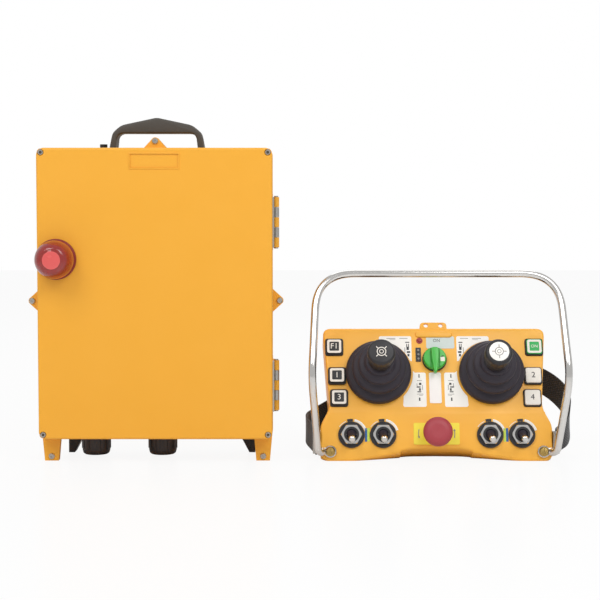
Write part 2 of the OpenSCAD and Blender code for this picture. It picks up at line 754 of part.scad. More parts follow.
lamp_top_r = 0.48 * lamp_r;
lamp_side_h = 8;             // height at which the lens starts to round off
module alarm_lamp_lens() {
  color("#D8261C") on_receiver() translate([lamp_x, -lamp_base_h, lamp_z]) rotate([90, 0, 0])
    rotate_extrude() polygon(concat([[0, 0], [lamp_r, 0], [lamp_r, 0.625 * lamp_side_h]],
      [for (a = [0 : 15 : 75]) [lamp_top_r + (lamp_r - lamp_top_r) * cos(a),
        lamp_side_h + (lamp_h - lamp_side_h) * sin(a)]],
      [[lamp_top_r, lamp_h], [0, lamp_h]]));
}

// Transmitter: shells

// Right half of the panel's outline, from the middle of the belly edge to the middle of the top edge
waist_inset = 12.5;          // from the panel's widest place to its waist
waist_w = panel_half_w - waist_inset;
waist_rise = 9;              // height of the waist above the fold
belly_v = 17;                // rise of the belly edge's middle
belly_share = 0.305;         // half width of the recess for the belly, of the panel's half width
belly_step = 2.5;
lobe_share = 0.727;          // lowest place of the lobe beside the belly
lobe_corner = 8;
lobe_h = 48;
top_inset = 3;               // from the panel's widest place to its top corners
top_half_w = panel_half_w - top_inset;
corner_reaches = [0, 6, 0.6, 0.6, 12, 5, 5, 7, 10, 12, 0];
outline_half = soften([
  [0, belly_v], [0.75 * belly_share * panel_half_w, 0.94 * belly_v], [belly_share * panel_half_w, 0.794 * belly_v],
  [belly_share * panel_half_w + 0.4 * belly_step, 0.794 * belly_v - belly_step],
  [lobe_share * panel_half_w, 0], [panel_half_w - lobe_corner, 0], [panel_half_w, lobe_corner], [panel_half_w, lobe_h],
  [waist_w, fold_v + waist_rise], [top_half_w, panel_h], [0, panel_h]], corner_reaches);
outline = concat(outline_half, [for (i = [len(outline_half) - 2 : -1 : 1]) [-outline_half[i][0], outline_half[i][1]]]);

rear_taper = 10;
side_taper = 14;
module body_block(inset) {
  intersection() {
    translate([0, 0, -body_depth - over]) linear_extrude(body_depth + 2 * over) offset(delta = -inset) polygon(outline);
    translate([-panel_half_w - over, 0, 0]) rotate([90, 0, 90]) linear_extrude(2 * panel_half_w + 2 * over)
      offset(delta = -inset) polygon([[0, -fold_drop], [fold_v, 0], [panel_h + over, 0],
        [panel_h + over, -seam_depth], [panel_h - rear_taper, -body_depth], [half_depth_v, -body_depth]]);
    translate([0, panel_h + over, 0]) rotate([90, 0, 0]) linear_extrude(panel_h + 2 * over)
      offset(delta = -inset) polygon([[-panel_half_w, over], [panel_half_w, over], [panel_half_w, -seam_depth],
        [panel_half_w - side_taper, -body_depth], [side_taper - panel_half_w, -body_depth], [-panel_half_w, -seam_depth]]);
  }
}

seam_gap = 1.2;
module above_seam(gap = 0) {
  translate([-2 * panel_half_w, -panel_h, -seam_depth + gap]) cube([4 * panel_half_w, 3 * panel_h, 2 * body_depth]);
}

module shell() {
  difference() {
    body_block(0);
    body_block(shell_wall);
  }
}

// Half width of the panel at a height on the upper deck
function edge_u(v) = waist_w + (top_half_w - waist_w) * (v - fold_v - waist_rise) / (panel_h - fold_v - waist_rise);
function button_u(row) = edge_u(button_rows[row]) - button_inset;

module at_button(x, row) {
  translate([x * button_u(row), button_rows[row], 0]) children();
}

module at_buttons() {
  for (x = [-1, 1], row = [0 : 2]) at_button(x, row) children();
}

module at_joysticks() {
  for (x = [-1, 1]) translate([x * stick_spacing / 2, stick_v, 0]) children();
}

toggle_s = 0.452 * fold_v;
toggle_outer_u = 0.734 * panel_half_w;
toggle_inner_u = 0.461 * panel_half_w;
function toggle_u(i) = i == 0 ? -toggle_outer_u : i == 1 ? -toggle_inner_u : i == 2 ? toggle_inner_u : toggle_outer_u;
module at_toggle(i) {
  on_lower_deck() translate([toggle_u(i), -toggle_s, 0]) children();
}
module at_toggles() {
  for (i = [0 : 3]) at_toggle(i) children();
}

estop_s = 0.4275 * fold_v;
module at_estop() {
  on_lower_deck() translate([0, -estop_s, 0]) children();
}

key_v = fold_v + 0.623 * deck_h;
module at_key() {
  translate([0, key_v, 0]) children();
}

toggle_bush_r = 10;
estop_body_r = 11;
key_body_r = 11;
stick_hole_r = 30;
button_inset = 13;           // distance from the panel's edge to the middle of a button
pocket_margin = 0.3;
pocket_sink = 1.5;
window_w = 16;
window_rise = 15;            // from the fold to the window
window_gap = 2.5;            // from the key knob to the window
window_low = fold_v + window_rise;
window_top = key_v - key_r - window_gap;
window_h = window_top - window_low;
window_v = (window_top + window_low) / 2;
lamp_led_r = 3;
led_block = [7, 0.164 * deck_h];
led_gap = 2.5;               // from the key knob to the block of three lamps
led_u = -key_r - led_gap - led_block[0] / 2;
led_v = fold_v + 0.684 * deck_h;
power_led_u = led_u + 0.29 * led_block[0];
power_led_v = fold_v + 0.848 * deck_h;
window_sink = 1;
frame_rim = 1.8;
frame_side = button_side + 2 * frame_rim;
stem_side = 0.58 * button_side;
sleeve_side = 0.79 * button_side;

ear_w = 36;
ear_rise = 9;
ear_hole_spacing = 20;
ear_hole_r = 3;
ear_t = 9;
hood_w = 56;
hood_h = 4;
hood_d = 14;                 // depth of the hood down the panel
ear_setback = 2;             // from the deck to the ear's front
corner_inset = 13;           // from the panel's side to the guard's screws
corner_u = panel_half_w - corner_inset;
corner_s = 0.8145 * fold_v;
guard_screw_r = 3;
guard_boss_r = 7;
guard_boss_l = 14;
module at_guard_feet() {
  for (x = [-1, 1]) on_lower_deck() translate([x * corner_u, -corner_s, 0]) children();
}

module button_pocket() {
  translate([0, 0, -pocket_sink])
    pad(frame_side + 2 * pocket_margin, frame_side + 2 * pocket_margin, pocket_sink + over, moulded_r, $fn = 32);
}

module panel_shell() {
  color(yellow) on_transmitter() difference() {
    union() {
      intersection() {
        shell();
        above_seam();
      }
      // Ear with two holes above the top edge
      translate([0, panel_h, -ear_t - ear_setback]) linear_extrude(ear_t)
        polygon([[-0.61 * ear_w, -0.22 * ear_rise], [0.61 * ear_w, -0.22 * ear_rise], [0.5 * ear_w, 0.67 * ear_rise],
          [0.39 * ear_w, ear_rise], [-0.39 * ear_w, ear_rise], [-0.5 * ear_w, 0.67 * ear_rise]]);
      // Hood over the middle of the upper deck
      translate([-hood_w / 2, panel_h - hood_d, -over]) rotate([90, 0, 90]) linear_extrude(hood_w)
        polygon([[0, 0], [0.2 * hood_d, hood_h + over], [0.6 * hood_d, hood_h + over], [hood_d, over], [hood_d, 0]]);
      at_guard_feet() translate([0, 0, -guard_boss_l]) cylinder(r = guard_boss_r, h = guard_boss_l - shell_wall / 2);
    }
    at_joysticks() translate([0, 0, -shell_wall - over]) cylinder(r = stick_hole_r, h = shell_wall + 2 * over);
    for (x = [-1, 1]) {
      at_button(x, 0) button_pocket();
      hull() {
        at_button(x, 1) button_pocket();
        at_button(x, 2) button_pocket();
      }
    }
    at_buttons() translate([0, 0, -shell_wall - over])
      pad(sleeve_side + 2 * run_gap, sleeve_side + 2 * run_gap, shell_wall + over, small_r);
    at_toggles() translate([0, 0, -shell_wall - over]) cylinder(r = toggle_bush_r + run_gap, h = shell_wall + 2 * over);
    at_estop() translate([0, 0, -shell_wall - over]) cylinder(r = estop_body_r + run_gap, h = shell_wall + 2 * over);
    at_key() translate([0, 0, -shell_wall - over]) cylinder(r = key_body_r + run_gap, h = shell_wall + 2 * over);
    translate([0, window_v, -window_sink]) pad(window_w + fit_gap, window_h + fit_gap, window_sink + over, small_r);
    translate([led_u, led_v, -window_sink]) pad(led_block[0] + fit_gap, led_block[1] + fit_gap, window_sink + over, tiny_r);
    translate([power_led_u, power_led_v, -shell_wall - over]) cylinder(r = lamp_led_r + run_gap, h = shell_wall + 2 * over);
    for (x = [-1, 1]) translate([x * ear_hole_spacing / 2, panel_h + ear_rise / 2, -ear_t - ear_setback - over])
      cylinder(r = ear_hole_r, h = ear_t + 2 * over);
    at_guard_feet() translate([0, 0, 2 * over - guard_boss_l]) cylinder(r = guard_screw_r + run_gap, h = guard_boss_l);
  }
}

battery = [0.585 * panel_half_w, 0.305 * panel_h, 0.288 * body_depth];
battery_v = 0.467 * panel_h;
battery_gap = 0.4;
battery_rest = 0.5;
pocket_wall = 2.5;
tx_board_gap = 5.5;          // from the battery's pocket to the control board
tx_low_gap = 1;              // from the fold to the control board
tx_top_gap = 23;             // from the control board to the panel's top
tx_side_gap = 11.5;          // from the waist to the control board
tx_board_t = 1.6;
tx_board_w = -body_depth + battery[2] + battery_rest + pocket_wall + tx_board_gap;
tx_board_low = fold_v + tx_low_gap;
tx_board_top = panel_h - tx_top_gap;
tx_board = [2 * (waist_w - tx_side_gap), tx_board_top - tx_board_low, tx_board_t];
tx_board_v = (tx_board_low + tx_board_top) / 2;
tx_hole_inset = 6;
tx_boss_r = 4;
tx_hole_l = 12;
module at_tx_board_corners() {
  for (x = [-1, 1], y = [-1, 1])
    translate([x * (tx_board[0] / 2 - tx_hole_inset), tx_board_v + y * (tx_board[1] / 2 - tx_hole_inset), 0]) children();
}

module base_shell() {
  color(yellow) on_transmitter() difference() {
    union() {
      difference() {
        shell();
        above_seam(-seam_gap);
      }
      translate([0, battery_v, -body_depth + shell_wall / 2])
        pad(battery[0] + 2 * battery_gap + 2 * pocket_wall, battery[1] + 2 * battery_gap + 2 * pocket_wall,
          battery[2] + battery_rest + pocket_wall - shell_wall / 2, moulded_r);
      at_tx_board_corners() translate([0, 0, -body_depth + shell_wall / 2])
        cylinder(r = tx_boss_r, h = body_depth - shell_wall / 2 + tx_board_w);
    }
    translate([0, battery_v, -body_depth - over])
      pad(battery[0] + 2 * battery_gap, battery[1] + 2 * battery_gap, battery[2] + battery_rest + over, small_r);
    at_tx_board_corners() translate([0, 0, tx_board_w - tx_hole_l]) cylinder(r = screw_r + run_gap, h = tx_hole_l + over);
  }
}

shell_gasket_in = 0.6;       // from the shell's outside to the gasket
shell_gasket_w = 2;
module shell_gasket() {
  color("#3A3A3A") on_transmitter() intersection() {
    difference() {
      body_block(shell_gasket_in);
      body_block(shell_gasket_in + shell_gasket_w);
    }
    translate([-2 * panel_half_w, -panel_h, -seam_depth - seam_gap])
      cube([4 * panel_half_w, 3 * panel_h, seam_gap]);
  }
}

pull_w = 0.45 * battery[0];   // finger recess in the battery's back
pull_h = 12;
pull_depth = 4;
module battery_pack() {
  color(black) on_transmitter() translate([0, battery_v, -body_depth]) difference() {
    pad(battery[0], battery[1], battery[2], moulded_r);
    translate([0, 0, -over]) pad(pull_w, pull_h, pull_depth + over, pull_h / 3);
  }
}

tx_module_t = 4;
tx_module = [0.155 * tx_board[0], 0.3 * tx_board[1], tx_module_t];
buzzer_r = 6;
buzzer_h = 3;
module control_board() {
  color("#1E6B3A") on_transmitter() difference() {
    union() {
      translate([-tx_board[0] / 2, tx_board_low, tx_board_w]) cube(tx_board);
      translate([-tx_module[0] / 2, tx_board_v + tx_board[1] / 10, tx_board_w + tx_board[2] - weld]) cube(tx_module);
      translate([0, tx_board_v - tx_board[1] / 4, tx_board_w + tx_board[2] - weld]) cylinder(r = buzzer_r, h = buzzer_h);
    }
    at_tx_board_corners() translate([0, 0, tx_board_w - over])
      cylinder(r = screw_r + run_gap, h = tx_board[2] + 2 * over);
  }
}

// Transmitter: guard bar

guard_bend_out = 7;          // how far the guard's upper bends stand out past its crossbar
guard_bend_rise = 22;        // height of the upper bends above the fold
guard_path_half = [
  [corner_u + 1.8 * guard_r, fold_v - corner_s - 0.1 * guard_r, -guard_r],
  [guard_half_w - 0.4 * guard_r, fold_v - corner_s - 0.7 * guard_r, 0.2 * guard_r],
  [guard_half_w + guard_bend_out, fold_v + guard_bend_rise, guard_h - 0.8 * guard_r],
  [guard_half_w, guard_reach, guard_h], [0, guard_reach, guard_h]];
guard_reaches = [0, 9, 24, 50, 0];
guard_half = soften(guard_path_half, guard_reaches, 6);
guard_path = concat(guard_half, [for (i = [len(guard_half) - 2 : -1 : 0]) [-guard_half[i][0], guard_half[i][1], guard_half[i][2]]]);
guard_eye_t = 4;
guard_eye_r = 8;
guard_sides = 16;
module guard_bar() {
  color(steel) on_transmitter() difference() {
    union() {
      sweep(tube_rings(guard_path, guard_r, [0, 0, 1], guard_sides));
      at_guard_feet() translate([0, 0, rest_gap]) cylinder(r = guard_eye_r, h = guard_eye_t);
      for (x = [-1, 1]) on_lower_deck() translate([x * (corner_u + guard_eye_r), -corner_s, rest_gap])
        translate([-guard_eye_r / 2, -guard_r, 0]) cube([guard_eye_r, 2 * guard_r, guard_eye_t]);
    }
    at_guard_feet() translate([0, 0, -over]) cylinder(r = guard_screw_r + run_gap, h = guard_eye_t + 2 * over);
    // Underside of the tube's end, cut flush with the deck
    on_lower_deck() translate([-panel_half_w, -fold_v, -4 * guard_r])
      cube([2 * panel_half_w, fold_v, 4 * guard_r + rest_gap]);
  }
}

guard_head_r = 6.5;
guard_head_h = 3.6;
guard_screw_l = 10;          // how far the screw reaches under the deck
module guard_screws() {
  color(steel) on_transmitter() at_guard_feet() {
    translate([0, 0, -guard_screw_l]) cylinder(r = guard_screw_r, h = guard_screw_l + guard_eye_t + fit_gap);
    translate([0, 0, guard_eye_t + fit_gap]) difference() {
      rotate_extrude() polygon([[0, 0], [guard_head_r, 0], [guard_head_r, 0.42 * guard_head_h],
        [0.69 * guard_head_r, 0.89 * guard_head_h], [0, guard_head_h]]);
      translate([-over, -0.6 * guard_head_r, 0.55 * guard_head_h]) cube([2 * over, 1.2 * guard_head_r, guard_head_h]);
    }
  }
}

// Transmitter: strap

bracket_h = 30;
bracket_d = 11;
bracket_t = 2.5;
bracket_reach = 10;
bracket_v = 14;
bracket_w = -22;             // height of the bracket's lug in the deck frame
bracket_slot = [2, 3, 3];    // distance from the plate, width, margin at both ends
strap_w = 34;
strap_t = 2.4;

// Bracket frame: Y is upright, Z points to the front
module on_bracket() {
  translate([panel_half_w + rest_gap, bracket_v, bracket_w]) rotate([lean, 0, 0]) children();
}

module strap_brackets() {
  color(steel) on_transmitter() for (x = [-1, 1]) mirror([x < 0 ? 1 : 0, 0, 0]) on_bracket() difference() {
    union() {
      cube([bracket_t, bracket_h, bracket_d]);
      cube([bracket_reach, bracket_h, bracket_t]);
    }
    translate([bracket_t + bracket_slot[0], bracket_slot[2], -over])
      cube([bracket_slot[1], bracket_h - 2 * bracket_slot[2], bracket_t + 2 * over]);
  }
}

// Point behind a bracket's lug: out of the side wall, up, and back
function behind_bracket(out, up, back) = [panel_half_w + out,
  bracket_v + up * cos(lean) + back * sin(lean), bracket_w + up * sin(lean) - back * cos(lean)];

// Route of the strap's middle line: it leaves a bracket, then passes points given as shares
// of the half width, the panel's height and the body's depth, and returns to the other bracket
right_shares = [[1.22, 0.30, -0.66], [1.22, 0.62, -0.90], [0.86, 0.86, -1.18]];
back_shares = [[0.40, 0.80, -1.30], [-0.30, 0.78, -1.30]];
left_shares = [[-0.68, 0.64, -1.24], [-1.01, 0.46, -1.10], [-1.15, 0.34, -0.72]];
function from_shares(shares) = [for (p = shares) [p[0] * panel_half_w, p[1] * panel_h, p[2] * body_depth]];
function other_side(p) = [-p[0], p[1], p[2]];
strap_start = [behind_bracket(0.55 * bracket_reach, bracket_h / 2, 3 * fit_gap),
  behind_bracket(0.65 * bracket_reach, bracket_h / 2, 1.4 * bracket_reach)];
strap_points = concat(strap_start, from_shares(concat(right_shares, back_shares, left_shares)),
  [other_side(strap_start[1]), other_side(strap_start[0])]);
// Smooth line that starts and ends at the end points and is guided by the others
function guided(points, n) = let (last = len(points) - 1) [
  for (i = [1 : last - 1], k = [i == 1 ? 0 : 1 : n])
    let (a = i == 1 ? points[0] : (points[i - 1] + points[i]) / 2,
      b = i == last - 1 ? points[last] : (points[i] + points[i + 1]) / 2, s = k / n)
    (1 - s) * (1 - s) * a + 2 * s * (1 - s) * points[i] + s * s * b];
strap_path = guided(strap_points, 6);
strap_up = [0, cos(lean), sin(lean)];
module waist_strap() {
  rings = [for (i = [0 : len(strap_path) - 1])
    let (t = tangent(strap_path, i), out = unit(cross(t, strap_up)), up = unit(cross(out, t)), p = strap_path[i])
    [p + up * strap_w / 2 + out * strap_t / 2, p + up * strap_w / 2 - out * strap_t / 2,
      p - up * strap_w / 2 - out * strap_t / 2, p - up * strap_w / 2 + out * strap_t / 2]];
  color(black) on_transmitter() sweep(rings);
}

// Transmitter: window and lamps

window_proud = 0.4;
module display_window() {
  color("#E9EEF0") on_transmitter() translate([0, window_v, -window_sink])
    pad(window_w, window_h, window_sink + window_proud, small_r);
}

lamp_rim = 1.5;              // height of the lamp's rim behind the panel
led_proud = 0.8;
led_r = 1.6;
module indicator_lamps() {
  color("#A0201A") on_transmitter() translate([power_led_u, power_led_v, -shell_wall]) {
    cylinder(r = lamp_led_r, h = shell_wall + 0.2 * lamp_led_r);
    translate([0, 0, -lamp_rim]) cylinder(r = 1.33 * lamp_led_r, h = lamp_rim);
  }
  color(black) on_transmitter() translate([led_u, led_v, -window_sink]) {
    pad(led_block[0], led_block[1], window_sink + led_proud, tiny_r);
    for (i = [-1 : 1]) translate([0, 0.3 * i * led_block[1], 0]) cylinder(r = led_r, h = window_sink + 2 * led_proud);
  }
}

// Transmitter: push buttons

cap_rise = 4.3;
cap_t = 2.5;
cap_step = 0.8;              // width and height of the step round the cap's top
frame_rise = 2;
frame_floor = 0.5;
frame_deep = 9;
switch_h = 12;
switch_leg_r = 0.8;
switch_leg_l = 4;
module button_frames() {
  color(black) on_transmitter() at_buttons() difference() {
    union() {
      translate([0, 0, -pocket_sink]) pad(frame_side, frame_side, pocket_sink + frame_rise, moulded_r);
      translate([0, 0, -frame_deep]) pad(sleeve_side, sleeve_side, frame_deep, small_r);
    }
    translate([0, 0, frame_floor - pocket_sink])
      pad(button_side + 2 * fit_gap, button_side + 2 * fit_gap, pocket_sink + frame_rise + over, small_r);
    translate([0, 0, -frame_deep - over])
      pad(stem_side + 2 * fit_gap, stem_side + 2 * fit_gap, frame_deep + over, tiny_r);
  }
}

module button_switches() {
  color("#55585C") on_transmitter() at_buttons() translate([0, 0, -frame_deep - switch_h]) {
    pad(sleeve_side, sleeve_side, switch_h, small_r);
    for (x = [-1, 1]) translate([x * sleeve_side / 4, 0, -switch_leg_l]) cylinder(r = switch_leg_r, h = switch_leg_l + over);
  }
}

module button_cap(x, row) {
  on_transmitter() at_button(x, row) {
    translate([0, 0, cap_rise - cap_t]) pad(button_side, button_side, cap_t - cap_step, small_r);
    translate([0, 0, cap_rise - cap_step])
      pad(button_side - 2 * cap_step, button_side - 2 * cap_step, cap_step, 0.75 * small_r);
    translate([0, 0, -frame_deep + button_travel + fit_gap])
      pad(stem_side, stem_side, frame_deep - button_travel - fit_gap + cap_rise - cap_t, tiny_r);
  }
}

module button_f1() { color("#1F1F22") button_cap(-1, 0); }
module button_1() { color("#1F1F22") button_cap(-1, 1); }
module button_3() { color("#1F1F22") button_cap(-1, 2); }
module button_start() { color("#2FA84A") button_cap(1, 0); }
module button_2() { color("#E6E4DE") button_cap(1, 1); }
module button_4() { color("#E6E4DE") button_cap(1, 2); }

// Transmitter: toggles

toggle_pivot = 5;
toggle_pin_r = 1.5;
pin_inset = 0.5;             // how far a pin's end stays inside its bore
toggle_body = [26, 30, 24];
toggle_bush_h = 9;
toggle_plate_rim = 3.2;
toggle_plate_r = toggle_nut_d / 2 + toggle_plate_rim;
toggle_plate_t = 3;
toggle_cup_r = 7;
toggle_cup_h = 9;            // depth of the cup under the lever's pivot
toggle_leg_pitch = 7;
toggle_leg_r = 1.5;
toggle_leg_l = 5;
module toggle_bodies() {
  color("#3C3C40") on_transmitter() at_toggles() difference() {
    union() {
      translate([0, 0, -shell_wall - toggle_body[2]]) pad(toggle_body[0], toggle_body[1], toggle_body[2], small_r);
      translate([0, 0, -shell_wall - over]) cylinder(r = toggle_bush_r, h = shell_wall + over + toggle_bush_h);
      for (x = [-1 : 1]) translate([x * toggle_leg_pitch, 0, -shell_wall - toggle_body[2] - toggle_leg_l])
        cylinder(r = toggle_leg_r, h = toggle_leg_l + over);
    }
    translate([0, 0, toggle_pivot - toggle_cup_h]) cylinder(r = toggle_cup_r, h = toggle_cup_h + toggle_bush_h);
    translate([-toggle_bush_r - over, 0, toggle_pivot]) rotate([0, 90, 0])
      cylinder(r = toggle_pin_r + run_gap, h = 2 * toggle_bush_r + 2 * over);
  }
}

module toggle_plates() {
  color(black) on_transmitter() at_toggles() difference() {
    cylinder(r = toggle_plate_r, h = toggle_plate_t);
    translate([0, 0, -over]) cylinder(r = toggle_bush_r + run_gap, h = toggle_plate_t + 2 * over);
  }
}

toggle_nut_h = 4.5;
toggle_lever_l = 29;
toggle_ball_r = 4.2;
toggle_tail_l = 6;
toggle_tail_r = 2;
toggle_neck_r = 2.8;
toggle_tip_r = 4.4;
toggle_tip_l = 8;
module toggle_nuts() {
  color(steel) on_transmitter() at_toggles() translate([0, 0, toggle_plate_t]) difference() {
    intersection() {
      cylinder(r = toggle_nut_d / 2, h = toggle_nut_h, $fn = 6);
      translate([0, 0, -over])
        cylinder(r1 = 0.57 * toggle_nut_d, r2 = 0.465 * toggle_nut_d, h = toggle_nut_h + over);
    }
    translate([0, 0, -over]) cylinder(r = toggle_bush_r + run_gap, h = toggle_nut_h + 2 * over);
  }
}

module toggle_lever(i) {
  color(steel) on_transmitter() at_toggle(i) translate([0, 0, toggle_pivot]) {
    rotate([0, 90, 0]) translate([0, 0, pin_inset - toggle_bush_r])
      cylinder(r = toggle_pin_r, h = 2 * (toggle_bush_r - pin_inset));
    rotate([toggle_throw / 2, 0, 0]) {
      sphere(r = toggle_ball_r);
      translate([0, 0, -toggle_tail_l]) cylinder(r = toggle_tail_r, h = toggle_tail_l);
      rotate_extrude() polygon([[0, 0], [0.86 * toggle_neck_r, 0], [toggle_neck_r, 0.14 * toggle_lever_l],
        [toggle_neck_r, 0.42 * toggle_lever_l], [0.91 * toggle_tip_r, toggle_lever_l - toggle_tip_l],
        [toggle_tip_r, toggle_lever_l - 0.5 * toggle_tip_l], [0.86 * toggle_tip_r, toggle_lever_l - 0.12 * toggle_tip_l],
        [0.6 * toggle_tip_r, toggle_lever_l], [0, toggle_lever_l]]);
    }
  }
}
module toggle_lever_1() { toggle_lever(0); }
module toggle_lever_2() { toggle_lever(1); }
module toggle_lever_3() { toggle_lever(2); }
module toggle_lever_4() { toggle_lever(3); }

// Transmitter: key knob

key_ring_h = 3;
key_ring_rim = 1;
key_disc_h = 7;
key_bar_h = 6;               // height of the bar on the knob's disc
key_bar_w = 10;
key_tip = 7;                 // how far the bar's tip reaches past the disc
key_spindle_r = 4;
key_spindle_l = 10;
key_barrel_l = 16;
key_nut_h = 4;
key_block = [24, 14];        // side and height of the contact block
module key_switch_body() {
  color(black) on_transmitter() at_key() difference() {
    union() {
      cylinder(r = key_r + key_ring_rim, h = key_ring_h);
      translate([0, 0, -shell_wall - key_barrel_l]) cylinder(r = key_body_r, h = shell_wall + key_barrel_l + over);
      translate([0, 0, -shell_wall - key_nut_h]) cylinder(r = 1.32 * key_body_r, h = key_nut_h, $fn = 6);
      translate([0, 0, -shell_wall - key_barrel_l - key_block[1]]) pad(key_block[0], key_block[0], key_block[1], small_r);
    }
    translate([0, 0, -key_spindle_l - 2 * over])
      cylinder(r = key_spindle_r + run_gap, h = key_spindle_l + key_ring_h + 3 * over);
  }
}

// The bar tapers to a tip that points to the belly
module key_knob() {
  color("#25B84C") on_transmitter() at_key() translate([0, 0, key_ring_h + fit_gap]) {
    rotate_extrude() polygon([[0, 0], [key_r, 0], [key_r, 0.7 * key_disc_h], [0.9 * key_r, key_disc_h], [0, key_disc_h]]);
    translate([0, 0, key_disc_h - over]) linear_extrude(key_bar_h + over)
      polygon([[-0.3 * key_bar_w, 0.87 * key_r], [-0.5 * key_bar_w, 0.68 * key_r], [-0.5 * key_bar_w, 0],
        [-0.25 * key_bar_w, -key_r - 0.5 * key_tip], [-0.12 * key_bar_w, -key_r - key_tip],
        [0.12 * key_bar_w, -key_r - key_tip], [0.25 * key_bar_w, -key_r - 0.5 * key_tip],
        [0.5 * key_bar_w, 0], [0.5 * key_bar_w, 0.68 * key_r], [0.3 * key_bar_w, 0.87 * key_r]]);
    translate([0, 0, -key_ring_h - fit_gap - key_spindle_l]) cylinder(r = key_spindle_r, h = key_ring_h + key_spindle_l + over);
  }
}

// Transmitter: emergency stop

estop_plate = [61, 29, 1.6];
estop_collar_h = 9;
estop_under = 17;
estop_shaft_r = 7;
estop_spigot_r = 4;
estop_spigot_l = 8;
estop_head_h = 15;
estop_top_r = 8;
estop_collar_r = 15;
estop_barrel_l = 8;
estop_nut_h = 5;
estop_block = [28, 22, 27];
estop_shaft_l = 26;          // how far the plunger reaches under the shell
module estop_body() {
  color("#F4D52B") on_transmitter() at_estop() difference() {
    union() {
      pad(estop_plate[0], estop_plate[1], estop_plate[2], small_r);
      cylinder(r1 = estop_collar_r, r2 = 0.87 * estop_collar_r, h = estop_collar_h);
      translate([0, 0, -shell_wall - estop_barrel_l]) cylinder(r = estop_body_r, h = shell_wall + estop_barrel_l + over);
      translate([0, 0, -shell_wall - estop_nut_h]) cylinder(r = 1.36 * estop_body_r, h = estop_nut_h, $fn = 6);
      translate([0, 0, over - shell_wall - estop_barrel_l - estop_block[2]])
        pad(estop_block[0], estop_block[1], estop_block[2], small_r);
    }
    translate([0, 0, -shell_wall - estop_shaft_l])
      cylinder(r = estop_shaft_r + run_gap, h = shell_wall + estop_shaft_l + estop_collar_h + over);
  }
}

module estop_plunger() {
  color("#8C8C8C") on_transmitter() at_estop() {
    translate([0, 0, -shell_wall - estop_shaft_l + estop_travel + fit_gap])
      cylinder(r = estop_shaft_r, h = shell_wall + estop_shaft_l - estop_travel - fit_gap + estop_under);
    translate([0, 0, estop_under - over]) cylinder(r = estop_spigot_r, h = over + estop_spigot_l);
  }
}

module estop_head() {
  color("#C4302B") on_transmitter() at_estop() translate([0, 0, estop_under]) difference() {
    rotate_extrude() polygon(concat([[0, rest_gap], [0.66 * estop_r, rest_gap], [0.95 * estop_r, 0.17 * estop_head_h],
      [estop_r, 0.3 * estop_head_h]],
      [for (a = [0 : 15 : 75]) [estop_top_r + (estop_r - estop_top_r) * cos(a), estop_head_h * (0.4 + 0.6 * sin(a))]],
      [[estop_top_r, estop_head_h], [0, estop_head_h]]));
    cylinder(r = estop_spigot_r + run_gap, h = estop_spigot_l + fit_gap);
  }
}

// Transmitter: joysticks

gimbal_w = -13;              // height of the gimbal's centre in the deck frame
stick_base_half = 27;
stick_base_wall = 4;
stick_base_h = 24;           // from the base's underside to the gimbal's centre
gimbal_ring_r = 20;
gimbal_ring_in = 14;
gimbal_ring_h = 8;
gimbal_pin_r = 2.5;
module joystick_bases() {
  color("#4A4D52") on_transmitter() at_joysticks() difference() {
    translate([0, 0, gimbal_w - stick_base_h])
      pad(2 * stick_base_half, 2 * stick_base_half, stick_base_h - gimbal_w - shell_wall, moulded_r);
    translate([0, 0, gimbal_w - stick_base_h + stick_base_wall / 2])
      pad(2 * (stick_base_half - stick_base_wall), 2 * (stick_base_half - stick_base_wall), stick_base_h - gimbal_w, small_r);
    translate([-stick_base_half - over, 0, gimbal_w]) rotate([0, 90, 0])
      cylinder(r = gimbal_pin_r + run_gap, h = 2 * stick_base_half + 2 * over);
  }
}

module gimbal() {
  color(steel) on_transmitter() translate([0, stick_v, gimbal_w]) difference() {
    union() {
      translate([0, 0, -gimbal_ring_h / 2]) cylinder(r = gimbal_ring_r, h = gimbal_ring_h);
      rotate([0, 90, 0]) translate([0, 0, pin_inset - stick_base_half])
        cylinder(r = gimbal_pin_r, h = 2 * (stick_base_half - pin_inset));
    }
    translate([0, 0, -gimbal_ring_h]) cylinder(r = gimbal_ring_in, h = 2 * gimbal_ring_h);
    rotate([90, 0, 0]) translate([0, 0, -gimbal_ring_r - over])
      cylinder(r = gimbal_pin_r + run_gap, h = 2 * gimbal_ring_r + 2 * over);
  }
}

stick_shaft_r = 5;
stick_neck_r = 8;
stick_neck_low = 30;
stick_hub_r = 7.5;
stick_hub_h = 10;
grip_low = 0.6 * stick_h;
module stick() {
  color(black) on_transmitter() translate([0, stick_v, gimbal_w]) {
    rotate([90, 0, 0]) translate([0, 0, -gimbal_ring_r]) cylinder(r = gimbal_pin_r, h = 2 * gimbal_ring_r);
    translate([0, 0, -stick_hub_h / 2]) cylinder(r = stick_hub_r, h = stick_hub_h);
    cylinder(r = stick_shaft_r, h = stick_neck_low - gimbal_w + over);
    translate([0, 0, -gimbal_w]) rotate_extrude() polygon([[0, stick_neck_low], [stick_neck_r, stick_neck_low],
      [stick_neck_r, grip_low], [0.865 * stick_grip_r, grip_low], [0.89 * stick_grip_r, 0.69 * stick_h],
      [stick_grip_r, 0.83 * stick_h], [stick_grip_r, 0.955 * stick_h], [0.93 * stick_grip_r, 0.986 * stick_h],
      [0.78 * stick_grip_r, stick_h], [0, stick_h]]);
  }
}

module left_gimbal() { shift_u(-1) gimbal(); }
module right_gimbal() { shift_u(1) gimbal(); }
module left_stick() { shift_u(-1) stick(); }
module right_stick() { shift_u(1) stick(); }
module shift_u(x) { translate([x * stick_spacing / 2, 0, 0]) children(); }

